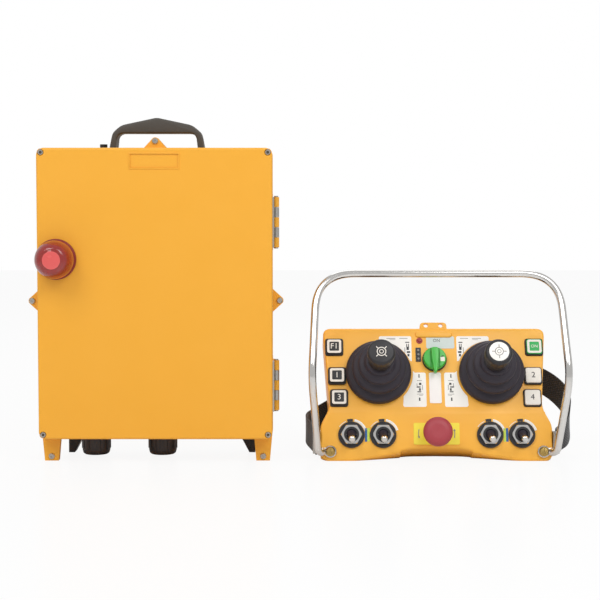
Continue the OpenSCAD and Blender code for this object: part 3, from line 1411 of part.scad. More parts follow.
// Rubber boot: stepped bellows from the deck to the stick's neck
boot_t = 2;
boot_shares = [[1, 0], [1, 0.17], [0.77, 0.38], [0.8, 0.48], [0.61, 0.64], [0.63, 0.73], [0.48, 0.86], [0.42, 0.97]];
boot_top_gap = 0.8;          // from the boot's top to the grip
boot_h = grip_low - boot_top_gap;
boot_steps = [for (p = boot_shares) [p[0] * boot_r, p[1] * boot_h]];
boot_mouth_gap = 0.5;        // from the stick's neck to the boot's mouth
boot_mouth_r = stick_neck_r + boot_mouth_gap;
boot_collar_h = 5;
module boot() {
  inner = [for (i = [len(boot_steps) - 1 : -1 : 0]) [boot_steps[i][0] - 1.2 * boot_t, max(boot_steps[i][1] - 0.7 * boot_t, 0)]];
  color(black) on_transmitter() translate([0, stick_v, 0]) rotate_extrude()
    polygon(concat(boot_steps, [[boot_mouth_r, boot_h], [boot_mouth_r, boot_h - boot_collar_h]], inner));
}
module left_boot() { shift_u(-1) boot(); }
module right_boot() { shift_u(1) boot(); }

receiver_case();
rear_feet();
carry_handle();
gland_bodies();
gland_nuts();
gland_seals();
gland_locknuts();
hinge_case_leaves();
hinge_pins();
case_gasket();
case_screws();
receiver_board();
relays();
terminal_blocks();
power_transformer();
radio_module();
antenna_socket();
receiver_lid();
hinge_lid_leaves();
lid_screws();
alarm_lamp_base();
alarm_lamp_lens();
panel_shell();
base_shell();
shell_gasket();
guard_bar();
guard_screws();
strap_brackets();
waist_strap();
control_board();
display_window();
indicator_lamps();
button_frames();
button_switches();
toggle_bodies();
toggle_plates();
toggle_nuts();
key_switch_body();
estop_body();
joystick_bases();
left_boot();
right_boot();
battery_pack();
left_gimbal();
left_stick();
right_gimbal();
right_stick();
toggle_lever_1();
toggle_lever_2();
toggle_lever_3();
toggle_lever_4();
button_f1();
button_1();
button_3();
button_start();
button_2();
button_4();
key_knob();
estop_plunger();
estop_head();
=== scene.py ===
"""Crane radio remote control: the looks of the wall-box receiver and the two-stick transmitter."""

from math import atan2, cos, radians, sin, tan

import bpy
from mathutils import Matrix, Vector


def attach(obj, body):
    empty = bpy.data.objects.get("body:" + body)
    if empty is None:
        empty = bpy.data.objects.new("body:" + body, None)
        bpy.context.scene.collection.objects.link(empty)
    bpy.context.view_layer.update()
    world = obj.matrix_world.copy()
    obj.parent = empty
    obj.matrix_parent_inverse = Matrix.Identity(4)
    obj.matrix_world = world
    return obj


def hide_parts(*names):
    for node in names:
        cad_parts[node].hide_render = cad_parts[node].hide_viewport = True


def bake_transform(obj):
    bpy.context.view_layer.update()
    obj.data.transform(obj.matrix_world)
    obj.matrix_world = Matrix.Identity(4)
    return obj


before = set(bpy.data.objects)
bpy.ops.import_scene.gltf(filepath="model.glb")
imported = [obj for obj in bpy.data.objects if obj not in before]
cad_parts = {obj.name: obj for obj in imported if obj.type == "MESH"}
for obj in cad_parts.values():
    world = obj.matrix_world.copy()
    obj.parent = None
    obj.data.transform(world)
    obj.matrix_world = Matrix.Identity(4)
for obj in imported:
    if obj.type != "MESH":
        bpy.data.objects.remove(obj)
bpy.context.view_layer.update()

# Frames. Each piece is modelled in millimetres in its own frame, then settled into the row frame in metres.

LEAN = 25.0              # degrees that the transmitter's panel leans back
FOLD_V = 62.0            # height of the fold between the two decks, up the panel
FOLD_ANGLE = 9.5         # degrees between the two decks
FOLD_DROP = FOLD_V * tan(radians(FOLD_ANGLE))
LIFT = FOLD_DROP * sin(radians(LEAN))
RECEIVER_PLACE = (-196.5, -66.0, 0.0)
DECK_PLACE = (173.5, -55.0, LIFT)

IN_MM = Matrix.Scale(0.001, 4)
RECEIVER = IN_MM @ Matrix.Translation(RECEIVER_PLACE)
LID_FACE = RECEIVER @ Matrix.Rotation(radians(90), 4, "X")
DECK = IN_MM @ Matrix.Translation(DECK_PLACE) @ Matrix.Rotation(radians(90 - LEAN), 4, "X")
LOWER_DECK = DECK @ Matrix.Translation((0, FOLD_V, 0)) @ Matrix.Rotation(radians(FOLD_ANGLE), 4, "X")


def on(frame_matrix, x, y, z=0.0):
    """The given frame, moved to a place in it"""
    return frame_matrix @ Matrix.Translation((x, y, z))


# Finishes

def srgb(code):
    """An sRGB hex colour as the linear colour that a shader takes"""
    values = [int(code[i:i + 2], 16) / 255 for i in (1, 3, 5)]
    return tuple(v / 12.92 if v <= 0.04045 else ((v + 0.055) / 1.055) ** 2.4 for v in values) + (1.0,)


def add_node(material, kind, inputs=None, **settings):
    """Adds one node with its settings; an input is a value, or the output that feeds it"""
    tree = material.node_tree
    node = tree.nodes.new(kind)
    for key, value in settings.items():
        setattr(node, key, value)
    for key, value in (inputs or {}).items():
        if isinstance(value, bpy.types.NodeSocket):
            tree.links.new(value, node.inputs[key])
        else:
            node.inputs[key].default_value = value
    return node


def new_material(name, **shader_values):
    """A material with one Principled shader; the values go on the shader's own sockets"""
    material = bpy.data.materials.new(name)
    material.use_nodes = True
    material.node_tree.nodes.clear()
    values = {key.replace("_", " "): value for key, value in shader_values.items()}
    shader = add_node(material, "ShaderNodeBsdfPrincipled", values)
    add_node(material, "ShaderNodeOutputMaterial", {"Surface": shader.outputs["BSDF"]})
    return material, shader


def feed(material, output, shader, socket):
    """Links an output to a socket of a node that is already there"""
    material.node_tree.links.new(output, shader.inputs[socket])


COLOUR_PATCH = 60        # millimetres over which the colour of a moulding drifts
GLOSS_PATCH = 35         # millimetres over which its gloss drifts
NOISE_RANGE = 0.3, 0.7   # what nearly all values of a noise lie between
DRAWN_OUT = 0.12         # scale of a metal's marks along them, against that across them


def mottled(material, shader, coords, low, high, patch_mm):
    """Base colour that drifts between two shades in patches of about this size"""
    cloud = add_node(material, "ShaderNodeTexNoise", {
        "Vector": coords, "Scale": 1000 / patch_mm, "Detail": 3.0})
    mix = add_node(material, "ShaderNodeMixRGB", {
        "Fac": cloud.outputs["Fac"], "Color1": srgb(low), "Color2": srgb(high)})
    feed(material, mix.outputs["Color"], shader, "Base Color")


def handled(material, shader, coords, low, high, patch_mm):
    """Roughness that drifts between two values, as where hands have polished the surface"""
    cloud = add_node(material, "ShaderNodeTexNoise", {
        "Vector": coords, "Scale": 1000 / patch_mm, "Detail": 4.0})
    spread = add_node(material, "ShaderNodeMapRange", {
        "Value": cloud.outputs["Fac"], "From Min": NOISE_RANGE[0], "From Max": NOISE_RANGE[1],
        "To Min": low, "To Max": high})
    feed(material, spread.outputs["Result"], shader, "Roughness")


def grained(material, shader, coords, grain_mm, depth_mm):
    """Fine bumps of a real size over the whole surface"""
    grain = add_node(material, "ShaderNodeTexNoise", {
        "Vector": coords, "Scale": 1000 / grain_mm, "Detail": 2.0})
    bump = add_node(material, "ShaderNodeBump", {
        "Height": grain.outputs["Fac"], "Strength": 1.0, "Distance": depth_mm / 1000})
    feed(material, bump.outputs["Normal"], shader, "Normal")


def moulded(name, low, high, roughness, grain_mm=0.9, depth_mm=0.02, **shader_values):
    """Injection-moulded thermoplastic: even colour, spark-eroded grain, slightly uneven gloss"""
    material, shader = new_material(name, IOR=1.5, **shader_values)
    coords = add_node(material, "ShaderNodeTexCoord").outputs["Object"]
    mottled(material, shader, coords, low, high, COLOUR_PATCH)
    handled(material, shader, coords, roughness - 0.05, roughness + 0.06, GLOSS_PATCH)
    grained(material, shader, coords, grain_mm, depth_mm)
    return material


def plated(name, colour, roughness, streak_mm, depth_mm):
    """Plated or brushed metal: the drawing marks run along Z and break up its gloss"""
    material, shader = new_material(name, Metallic=1.0, Base_Color=srgb(colour))
    coords = add_node(material, "ShaderNodeTexCoord").outputs["Object"]
    stretched = add_node(material, "ShaderNodeMapping", {"Vector": coords, "Scale": (1.0, 1.0, DRAWN_OUT)})
    handled(material, shader, stretched.outputs["Vector"], roughness * 0.75, roughness * 1.4, streak_mm * 4)
    grained(material, shader, stretched.outputs["Vector"], streak_mm, depth_mm)
    return material


# Glass-filled nylon in signal yellow, moulded with a fine grain: satin, with soft highlights
yellow_nylon = moulded("yellow_moulded_nylon", "#FDB538", "#FFBE46", 0.40,
                       Coat_Weight=0.08, Coat_Roughness=0.25)
# Powder-coated yellow of the receiver box: a little flatter and more orange, with a faint orange-peel skin
yellow_coat = moulded("yellow_powder_coat", "#F1AB2B", "#F4AF33", 0.46, grain_mm=2.2, depth_mm=0.03)
# Black polyamide of frames, plates, grips, caps, battery and feet: satin, shows grey where light grazes it
black_nylon = moulded("black_polyamide", "#1D1B1D", "#252327", 0.42)
# Greyer polyamide of the cable glands, a little bleached like the handle
gland_nylon = moulded("grey_black_polyamide", "#353234", "#3E3A3D", 0.45)
# Vulcanised rubber of the boots: matt, bloomed slightly grey-violet
boot_rubber = moulded("vulcanised_rubber", "#28222B", "#302833", 0.6, grain_mm=0.7, depth_mm=0.03)
# Sun-bleached polypropylene of the carrying handle: a brownish charcoal, flatter than the new black parts
handle_plastic = moulded("bleached_polypropylene", "#443F39", "#4B463F", 0.52)
# Bright chrome plate on drawn steel tube: mirror-like, with faint draw lines
chrome_plate = plated("chrome_plated_tube", "#D9D7D4", 0.12, 1.5, 0.002)
# Zinc-plated or stainless small parts: duller than chrome, finely brushed
zinc_steel = plated("zinc_plated_steel", "#B9B6B0", 0.30, 0.6, 0.004)
# Yellow-passivated zinc of the guard's corner screws: the brassy tint that the chromate leaves
passivated = plated("yellow_passivated_zinc", "#B79A5B", 0.30, 0.6, 0.004)
# Thermoplastic of the mushroom head: even, slightly chalky red
red_cap = moulded("red_abs", "#A53841", "#AE414A", 0.48)
# Clear-tinted polycarbonate of the alarm lamp: glossy, lets light in
lamp_red, lamp_shader = new_material(
    "red_polycarbonate", Base_Color=srgb("#B92F28"), Roughness=0.12, IOR=1.58,
    Transmission_Weight=0.45, Coat_Weight=0.3)
grained(lamp_red, lamp_shader, add_node(lamp_red, "ShaderNodeTexCoord").outputs["Object"], 2.0, 0.02)
# The lens's flat crown, in a lighter, pinker red than the lens: painted light, so that it looks lit
crown_red_painted_light = moulded("red_polycarbonate_painted_lit", "#DE5553", "#E25E5B", 0.25, Coat_Weight=0.3)
# Dull red housing under the lens
lamp_base_red = moulded("red_polyamide", "#7E1F1A", "#8B2720", 0.45)
# Glossy green of the key knob
green_gloss = moulded("green_abs", "#3CB23C", "#46BE45", 0.30, Coat_Weight=0.2)
# Cooler and flatter green of the start button's cap and of the terminal blocks
green_cap = moulded("green_cap_abs", "#22AC4E", "#2CB65A", 0.36)
# Off-white button caps and printed borders
white_cap = moulded("off_white_abs", "#F1EADF", "#F7F0E6", 0.40)
# Polyester film of the labels: printed white, smooth
label_film = moulded("white_polyester_film", "#FDF9F1", "#FFFCF6", 0.34, grain_mm=3.0, depth_mm=0.006)
# Clear window over a white card: pale and glossy
window_film = moulded("window_film", "#FCF5F0", "#FFFAF6", 0.18, grain_mm=4.0, depth_mm=0.006,
                      Coat_Weight=0.4)
# Printing inks of the labels: flat, the grey one for lines too fine to stand out
dark_ink = moulded("dark_ink", "#2B2A2C", "#343335", 0.5)
grey_ink = moulded("grey_ink", "#8E8A86", "#9A9691", 0.5)
# Lemon-yellow film under the emergency stop
lemon_film = moulded("lemon_polyester_film", "#FFE844", "#FFED50", 0.35, grain_mm=3.0, depth_mm=0.006)
# Blue and lime-green films between the toggles, as smooth as the labels
blue_film = moulded("blue_polyester_film", "#2F5F9E", "#366AAC", 0.35)
lime_film = moulded("lime_polyester_film", "#CBE04B", "#D3E658", 0.35)
# Pale grey-blue film beside the key knob
pale_film = moulded("pale_grey_film", "#CFDAD6", "#D8E2DE", 0.35)
# Closed-cell foam gasket
foam = moulded("closed_cell_foam", "#2B2B2C", "#353536", 0.85, grain_mm=0.8, depth_mm=0.08)
# Green solder mask of the boards: smooth, with a faint relief of the copper below
solder_mask = moulded("green_solder_mask", "#14532B", "#1B6636", 0.35, grain_mm=2.5, depth_mm=0.02)
# Parts on the boards: smooth blue relay cases, dull dark plastic and a dull tinned can; the dull dark plastic
# is also the painted shade in the lid's screw sockets
relay_blue = moulded("relay_case_blue", "#2D5E9F", "#3468AC", 0.35)
dark_part_and_socket_shade = moulded("dark_component_and_socket_shade", "#3A3630", "#46413A", 0.5)
tinned_can = plated("tinned_shield_can", "#C6C8C9", 0.35, 0.8, 0.004)
# Glossy black block that the three lamps stand in
lamp_dark = moulded("black_lamp_block", "#1A1719", "#221F22", 0.3)


def woven(name, low, high):
    """Nylon webbing: two sets of waves cross each other at 45 degrees to the strap's length"""
    material, shader = new_material(name, IOR=1.5, Sheen_Weight=0.4, Sheen_Roughness=0.4, Roughness=0.78)
    # The strap's map is in metres; a wave is about 3 mm long, coarser than real threads, so that it shows
    strap_map = add_node(material, "ShaderNodeTexCoord").outputs["UV"]
    turned_map = add_node(material, "ShaderNodeMapping", {
        "Vector": strap_map, "Rotation": (0, 0, radians(45))})
    warp, weft = [add_node(material, "ShaderNodeTexWave", {
        "Vector": turned_map.outputs["Vector"], "Scale": 100.0, "Distortion": 0.4}, bands_direction=way)
        for way in ("X", "Y")]
    both = add_node(material, "ShaderNodeMath", {0: warp.outputs["Fac"], 1: weft.outputs["Fac"]},
                    operation="MULTIPLY")
    mix = add_node(material, "ShaderNodeMixRGB", {
        "Fac": both.outputs["Value"], "Color1": srgb(low), "Color2": srgb(high)})
    feed(material, mix.outputs["Color"], shader, "Base Color")
    bump = add_node(material, "ShaderNodeBump", {"Height": both.outputs["Value"], "Distance": 0.0004})
    feed(material, bump.outputs["Normal"], shader, "Normal")
    return material


webbing = woven("woven_nylon_webbing", "#161517", "#38353A")

NODE_FINISH = (
    (yellow_coat, "receiver_case receiver_lid hinge_case_leaves"),
    (yellow_nylon, "panel_shell base_shell"),
    (black_nylon, "rear_feet gland_nuts gland_locknuts antenna_socket battery_pack button_frames"),
    (black_nylon, "toggle_bodies toggle_plates key_switch_body left_stick right_stick button_f1 button_1"),
    (black_nylon, "button_3"),
    (handle_plastic, "carry_handle"),
    (gland_nylon, "gland_bodies"),
    (foam, "gland_seals case_gasket shell_gasket"),
    (zinc_steel, "hinge_lid_leaves hinge_pins case_screws lid_screws strap_brackets estop_plunger"),
    (zinc_steel, "left_gimbal right_gimbal"),
    (passivated, "guard_screws"),
    (chrome_plate, "guard_bar toggle_nuts toggle_lever_1 toggle_lever_2 toggle_lever_3 toggle_lever_4"),
    (solder_mask, "receiver_board control_board"),
    (relay_blue, "relays"),
    (dark_part_and_socket_shade, "power_transformer button_switches joystick_bases"),
    (tinned_can, "radio_module"),
    (green_cap, "terminal_blocks button_start"),
    (green_gloss, "key_knob"),
    (white_cap, "button_2 button_4"),
    (red_cap, "estop_head"),
    (lemon_film, "estop_body"),
    (lamp_base_red, "alarm_lamp_base"),
    (lamp_red, "alarm_lamp_lens"),
    (lamp_dark, "indicator_lamps"),
    (window_film, "display_window"),
    (boot_rubber, "left_boot right_boot"),
    (webbing, "waist_strap"),
)
for finish, node_names in NODE_FINISH:
    for node_name in node_names.split():
        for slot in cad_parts[node_name].material_slots:
            slot.material = finish


# Shaping. Every step is done as by hand: add a primitive, pick faces or edges, then extrude, bevel or cut.

NEAR = 1e-3              # millimetres within which two places count as one
CAPITAL_SHARE = 0.69     # height of a capital of the built-in font, against its size

bpy.ops.object.select_all(action="DESELECT")


def named(name):
    """Names the primitive that was just added, and moves its place into its mesh"""
    piece = bpy.context.active_object
    piece.name = piece.data.name = name
    bpy.ops.object.transform_apply(location=True, rotation=True, scale=True)
    return piece


def hold(piece):
    """Makes this piece the only one that is selected"""
    bpy.ops.object.select_all(action="DESELECT")
    piece.select_set(True)
    bpy.context.view_layer.objects.active = piece


def edit_all(piece):
    """Enters edit mode with the whole piece selected"""
    hold(piece)
    bpy.ops.object.mode_set(mode="EDIT")
    bpy.ops.mesh.select_all(action="SELECT")


def pick(piece, kind, wanted):
    """Enters edit mode with what passes the test: edges by their two ends, faces by centre and normal"""
    hold(piece)
    bpy.ops.object.mode_set(mode="EDIT")
    bpy.ops.mesh.select_mode(type=kind)
    bpy.ops.mesh.select_all(action="DESELECT")
    bpy.ops.object.mode_set(mode="OBJECT")
    if kind == "EDGE":
        ends = piece.data.vertices
        for edge in piece.data.edges:
            edge.select = bool(wanted(*[ends[i].co for i in edge.vertices]))
    else:
        for face in piece.data.polygons:
            face.select = bool(wanted(face.center, face.normal))
    bpy.ops.object.mode_set(mode="EDIT")


def done():
    """Leaves edit mode"""
    bpy.ops.object.mode_set(mode="OBJECT")


def close_up():
    """Turns every face outwards, then leaves edit mode"""
    bpy.ops.mesh.select_all(action="SELECT")
    bpy.ops.mesh.normals_make_consistent(inside=False)
    done()


def round_edges(piece, wanted, radius, segments=3):
    """Bevels the edges whose two ends pass the test"""
    pick(piece, "EDGE", wanted)
    bpy.ops.mesh.bevel(offset=radius, segments=segments, affect="EDGES")
    done()


def push(distance, direction=(0, 0, 1)):
    """Extrudes what is selected in edit mode"""
    bpy.ops.mesh.extrude_region_move(TRANSFORM_OT_translate={"value": [distance * d for d in direction]})


def thicken(piece, wall, offset=-1):
    """Gives a surface its wall: behind it, or to both sides of it where the offset is 0"""
    solid = piece.modifiers.new("wall", "SOLIDIFY")
    solid.thickness = wall
    solid.offset = offset
    hold(piece)
    bpy.ops.object.modifier_apply(modifier=solid.name)


def block(name, w, h, t, corner=0.0, edge=0.0, segments=3):
    """Block that stands on z = 0, with rounded upright corners and a rounded upper rim"""
    bpy.ops.mesh.primitive_cube_add(size=1, location=(0, 0, t / 2))
    piece = named(name)
    edit_all(piece)
    bpy.ops.transform.resize(value=(w, h, t), center_override=(0, 0, t / 2))
    done()
    if corner:
        round_edges(piece, lambda a, b: abs(a.z - b.z) > t / 2, corner, segments + 2)
    if edge:
        round_edges(piece, lambda a, b: min(a.z, b.z) > t - NEAR, edge, segments)
    return piece


def cut_out(name, points, t):
    """Flat shape with this outline, cut from sheet of thickness t, lying on z = 0"""
    bpy.ops.mesh.primitive_circle_add(vertices=len(points), radius=1, fill_type="NGON")
    piece = named(name)
    for vertex, (x, y) in zip(piece.data.vertices, points):
        vertex.co = (x, y, 0)
    edit_all(piece)
    if t:
        push(t)
    close_up()
    return piece


def turned(name, profile, sides=64):
    """Turned about Z: each (radius, height) of the profile is one ring, and both ends are closed"""
    radius, height = profile[0]
    bpy.ops.mesh.primitive_circle_add(vertices=sides, radius=radius, location=(0, 0, height),
                                      fill_type="NGON")
    piece = named(name)
    edit_all(piece)
    for next_radius, next_height in profile[1:]:
        push(next_height - height)
        bpy.ops.transform.resize(value=(next_radius / radius, next_radius / radius, 1),
                                 center_override=(0, 0, next_height))
        radius, height = next_radius, next_height
    close_up()
    return piece


def carve(piece, *cutters):
    """Takes the cutters' shapes out of the piece"""
    for cutter in cutters:
        cut = piece.modifiers.new("cut", "BOOLEAN")
        cut.operation = "DIFFERENCE"
        cut.solver = "EXACT"
        cut.object = cutter
        hold(piece)
        bpy.ops.object.modifier_apply(modifier=cut.name)
        bpy.data.objects.remove(cutter)
    return piece


def move(piece, x=0.0, y=0.0, z=0.0, turn=0.0):
    """Turns the piece's mesh about Z by degrees, then moves it"""
    piece.data.transform(Matrix.Translation((x, y, z)) @ Matrix.Rotation(radians(turn), 4, "Z"))
    return piece


def copies(piece, names):
    """The piece under the first name, and a copy of it under each other name"""
    twins = [piece]
    for _ in names[1:]:
        twin = piece.copy()
        twin.data = piece.data.copy()
        bpy.context.scene.collection.objects.link(twin)
        twins.append(twin)
    for twin, name in zip(twins, names):
        twin.name = twin.data.name = name
    return twins


def joined(name, pieces):
    """Makes one piece of several"""
    bpy.ops.object.select_all(action="DESELECT")
    for piece in pieces:
        piece.select_set(True)
    bpy.context.view_layer.objects.active = pieces[0]
    bpy.ops.object.join()
    whole = bpy.context.active_object
    whole.name = whole.data.name = name
    return whole


def settle(piece, place, finish, body, angle=35):
    """Puts a finished piece into the row frame, smooth and in its finish, on the body that carries it"""
    piece.data.transform(place)
    hold(piece)
    bpy.ops.object.shade_smooth_by_angle(angle=radians(angle))
    piece.data.materials.clear()
    piece.data.materials.append(finish)
    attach(piece, body)


def lettering(name, words, height, t):
    """Raised print of plain figures; height is that of a capital, and its middle is the origin"""
    bpy.ops.object.text_add()
    text = bpy.context.active_object
    text.data.body = words
    text.data.size = height / CAPITAL_SHARE
    text.data.align_x = "CENTER"
    text.data.align_y = "CENTER"
    text.data.extrude = t / 2
    hold(text)
    bpy.ops.object.convert(target="MESH")
    piece = named(name)
    low = min(v.co.z for v in piece.data.vertices)
    return move(piece, z=-low)


def soften(points, reaches, count=8):
    """The same path with each inner corner rounded, starting its own reach away from the corner"""
    out = [Vector(points[0])]
    for i in range(1, len(points) - 1):
        a, b, c = (Vector(points[i + k]) for k in (-1, 0, 1))
        if not reaches[i]:
            out.append(b)
            continue
        start = b + (a - b).normalized() * reaches[i]
        end = b + (c - b).normalized() * reaches[i]
        for k in range(count + 1):
            t = k / count
            out.append((1 - t) ** 2 * start + 2 * t * (1 - t) * b + t * t * end)
    out.append(Vector(points[-1]))
    return out


# Transmitter: panel and base

PANEL_HALF_W = 154.0
PANEL_H = 184.0
BODY_DEPTH = 85.0
SEAM_DEPTH = 28.0
SEAM_GAP = 1.2           # between the panel and the base, where the gasket lies
SHELL_WALL = 3.0
WAIST_U = 141.5          # half width at the waist, above the fold
WAIST_V = FOLD_V + 9.0
TOP_HALF_W = 151.0
LOBE_CORNER = 8.0
LOBE_H = 48.0
SIDE_TAPER = 14.0        # what the base loses at each side from the seam to its back
TOP_TAPER = 10.0
RIM_R = 3.5
BACK_RIM_R = 4.0

# Right half of the outline: the recess for the belly, then the lobe, the waist and the top corner
BELLY_LINE = [(0, 17, 0), (35.2, 16, 0), (47, 13.5, 0), (48, 11, 0), (112, 0, 0)]
SIDE_LINE = [(PANEL_HALF_W - LOBE_CORNER, 0, 0), (PANEL_HALF_W, LOBE_CORNER, 0), (PANEL_HALF_W, LOBE_H, 0),
             (WAIST_U, WAIST_V, 0), (TOP_HALF_W, PANEL_H, 0), (0, PANEL_H, 0)]
CORNER_REACHES = [0, 6, 0, 0, 12, 5, 5, 7, 10, 12, 0]
half_outline = soften(BELLY_LINE + SIDE_LINE, CORNER_REACHES, 5)
OUTLINE = [(p.x, p.y) for p in half_outline] + [(-p.x, p.y) for p in reversed(half_outline[1:-1])]

# Places on the panel: U to the right, V up the panel, S down the lower deck from the fold
STICK_U, STICK_V = 76.0, 119.0
STICK_HOLE_R = 30.0
TOGGLE_U = (-113.0, -71.0, 71.0, 113.0)
TOGGLE_S = 28.0
TOGGLE_BORE_R = 10.05
ESTOP_S = 26.5
KEY_V = 138.0
SWITCH_BORE_R = 11.05    # bores of the emergency stop and of the key switch
BUTTON_ROWS = (155.94, 115.07, 83.96)
BUTTON_INSET = 13.6      # from the panel's edge to the middle of a button
POCKET_SIDE = 24.8
POCKET_CORNER = 3.0
DOUBLE_POCKET_W = 26.2   # holds two buttons, of which the upper one stands further out
POCKET_DEPTH = 1.5
SLEEVE_HOLE = 15.1
RECESS_DEPTH = 1.0
WINDOW_RECESS = (0, 98.5, 16.3, 43.3)
LAMP_RECESS = (-21.5, 145.5, 7.3, 20.3)
POWER_BORE = (-19.5, 165.5, 3.05)
CUT_LOW, CUT_HIGH = -6.0, 4.0            # heights that cutters through the panel's wall reach


def button_u(row):
    """Middle of a button, set in from the panel's edge at its height"""
    edge = WAIST_U + (TOP_HALF_W - WAIST_U) * (BUTTON_ROWS[row] - WAIST_V) / (PANEL_H - WAIST_V)
    return edge - BUTTON_INSET


def post(x, y, r, low, high, sides=48):
    """Round cutter from one height to another"""
    bpy.ops.mesh.primitive_cylinder_add(vertices=sides, radius=r, depth=high - low,
                                        location=(x, y, (low + high) / 2))
    return named("cutter")


def bar_cutter(x, y, w, h, low, high, corner):
    """Square cutter from one height to another, with rounded upright corners"""
    return move(block("cutter", w, h, high - low, corner), x, y, low)


def to_lower_deck(piece):
    """Takes a piece from the lower deck's frame to the upper one's"""
    piece.data.transform(DECK.inverted() @ LOWER_DECK)
    return piece


def shell_block(name, top, bottom):
    """The body's outline between two depths; the upper side folds with the decks where it is the panel"""
    piece = cut_out(name, OUTLINE, 0)
    edit_all(piece)
    bpy.ops.mesh.bisect(plane_co=(0, FOLD_V, 0), plane_no=(0, 1, 0))
    done()
    for vertex in piece.data.vertices:
        fold = max(FOLD_V - vertex.co.y, 0) * tan(radians(FOLD_ANGLE)) if top == 0 else 0
        vertex.co.z = top - fold
    edit_all(piece)
    push(bottom - top)
    bpy.ops.transform.resize(value=(1, 1, 0), center_override=(0, 0, bottom))
    close_up()
    return piece


def cut_away(piece, point, normal):
    """Cuts away all that lies beyond a plane and closes the cut"""
    edit_all(piece)
    bpy.ops.mesh.bisect(plane_co=point, plane_no=normal, clear_outer=True, use_fill=True)
    done()


def stand_on_floor(piece):
    """Cuts the body's underside level with the floor, which leans against the panel's own frame"""
    cut_away(piece, (0, 0, -FOLD_DROP), (0, -cos(radians(LEAN)), -sin(radians(LEAN))))


def hollow(piece, wanted, wall):
    """Takes out the faces that pass the test, then gives the skin its wall inwards"""
    pick(piece, "FACE", wanted)
    bpy.ops.mesh.delete(type="FACE")
    done()
    thicken(piece, wall)


def is_panel_rim(a, b):
    """True for an edge round the panel's front; the fold stays sharp"""
    in_front = min(a.z, b.z) > -20 and max(a.z, b.z) < 1
    on_fold = abs(a.y - FOLD_V) < 0.01 and abs(b.y - FOLD_V) < 0.01
    return in_front and not on_fold


panel = shell_block("panel_skin", 0.0, -SEAM_DEPTH)
round_edges(panel, is_panel_rim, RIM_R, 4)
stand_on_floor(panel)
hollow(panel, lambda c, n: abs(c.z + SEAM_DEPTH) < NEAR and abs(n.z) > 0.9, SHELL_WALL)
cutters = [post(x * STICK_U, STICK_V, STICK_HOLE_R, CUT_LOW, CUT_HIGH, 64) for x in (-1, 1)]
cutters += [to_lower_deck(post(u, -TOGGLE_S, TOGGLE_BORE_R, CUT_LOW, CUT_HIGH)) for u in TOGGLE_U]
cutters.append(to_lower_deck(post(0, -ESTOP_S, SWITCH_BORE_R, CUT_LOW, CUT_HIGH)))
cutters.append(post(0, KEY_V, SWITCH_BORE_R, CUT_LOW, CUT_HIGH))
pair_u = (button_u(1) + button_u(2)) / 2
pair_v = (BUTTON_ROWS[1] + BUTTON_ROWS[2]) / 2
pair_h = POCKET_SIDE + BUTTON_ROWS[1] - BUTTON_ROWS[2]
for side in (-1, 1):
    cutters.append(bar_cutter(side * button_u(0), BUTTON_ROWS[0], POCKET_SIDE, POCKET_SIDE, -POCKET_DEPTH,
                              CUT_HIGH, POCKET_CORNER))
    cutters.append(bar_cutter(side * pair_u, pair_v, DOUBLE_POCKET_W, pair_h, -POCKET_DEPTH, CUT_HIGH,
                              POCKET_CORNER))
    for row, row_v in enumerate(BUTTON_ROWS):
        cutters.append(bar_cutter(side * button_u(row), row_v, SLEEVE_HOLE, SLEEVE_HOLE, CUT_LOW, 0, 2))
cutters.append(bar_cutter(*WINDOW_RECESS, -RECESS_DEPTH, CUT_HIGH, 2))
cutters.append(bar_cutter(*LAMP_RECESS, -RECESS_DEPTH, CUT_HIGH, 1))
cutters.append(post(*POWER_BORE, CUT_LOW, CUT_HIGH, 24))
carve(panel, *cutters)

# The ear with two holes above the top edge, and the hood over the middle of the upper deck
EAR_T = 5.0
EAR_SETBACK = 2.0
EAR_HOLES = ((-10, 188.5, 3), (10, 188.5, 3))
HALF_EAR = [(22, 181, 0), (18.4, 184, 0), (18, 193, 0), (0, 193, 0)]
HOOD_W, HOOD_H, HOOD_T = 50.0, 9.0, 3.0
HOOD_DROP = 9.5          # from the panel's top edge to the hood's middle
HOOD_SINK = 1.0
ear_line = soften([(-x, y, z) for x, y, z in HALF_EAR] + HALF_EAR[-2::-1], [0, 1.5, 5.5, 0, 5.5, 1.5, 0], 5)
ear = cut_out("panel_ear", [(p.x, p.y) for p in ear_line][::-1], EAR_T)
round_edges(ear, lambda a, b: min(a.z, b.z) > EAR_T - 0.1, 1.0, 3)
carve(ear, *[post(*hole, -2, 12, 32) for hole in EAR_HOLES])
move(ear, z=-EAR_SETBACK - EAR_T)
hood = move(block("panel_hood", HOOD_W, HOOD_H, HOOD_T, 4, 1.8, 4), 0, PANEL_H - HOOD_DROP, -HOOD_SINK)
panel = joined("panel_skin", [panel, ear, hood])
settle(panel, DECK, yellow_nylon, "transmitter")
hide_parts("panel_shell")

BATTERY_RECESS = (0, 85.9, 90.9, 56.9)
BATTERY_DEPTH = 25.0
base_top = -SEAM_DEPTH - SEAM_GAP
base = shell_block("base_skin", base_top, -BODY_DEPTH)
side_lean = atan2(SIDE_TAPER, BODY_DEPTH - SEAM_DEPTH)
top_lean = atan2(TOP_TAPER, BODY_DEPTH - SEAM_DEPTH)
for side in (-1, 1):
    cut_away(base, (side * PANEL_HALF_W, 0, -SEAM_DEPTH), (side * cos(side_lean), 0, -sin(side_lean)))
cut_away(base, (0, PANEL_H, -SEAM_DEPTH), (0, cos(top_lean), -sin(top_lean)))
stand_on_floor(base)
round_edges(base, lambda a, b: max(a.z, b.z) < 0.01 - BODY_DEPTH, BACK_RIM_R, 4)
hollow(base, lambda c, n: abs(c.z - base_top) < NEAR and abs(n.z) > 0.9, SHELL_WALL)
carve(base, bar_cutter(*BATTERY_RECESS, -BODY_DEPTH - 2, -BODY_DEPTH + BATTERY_DEPTH, 2))
settle(base, DECK, yellow_nylon, "transmitter")
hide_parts("base_shell")

# Transmitter: guard bar, bent from tube, with an eye under each corner screw

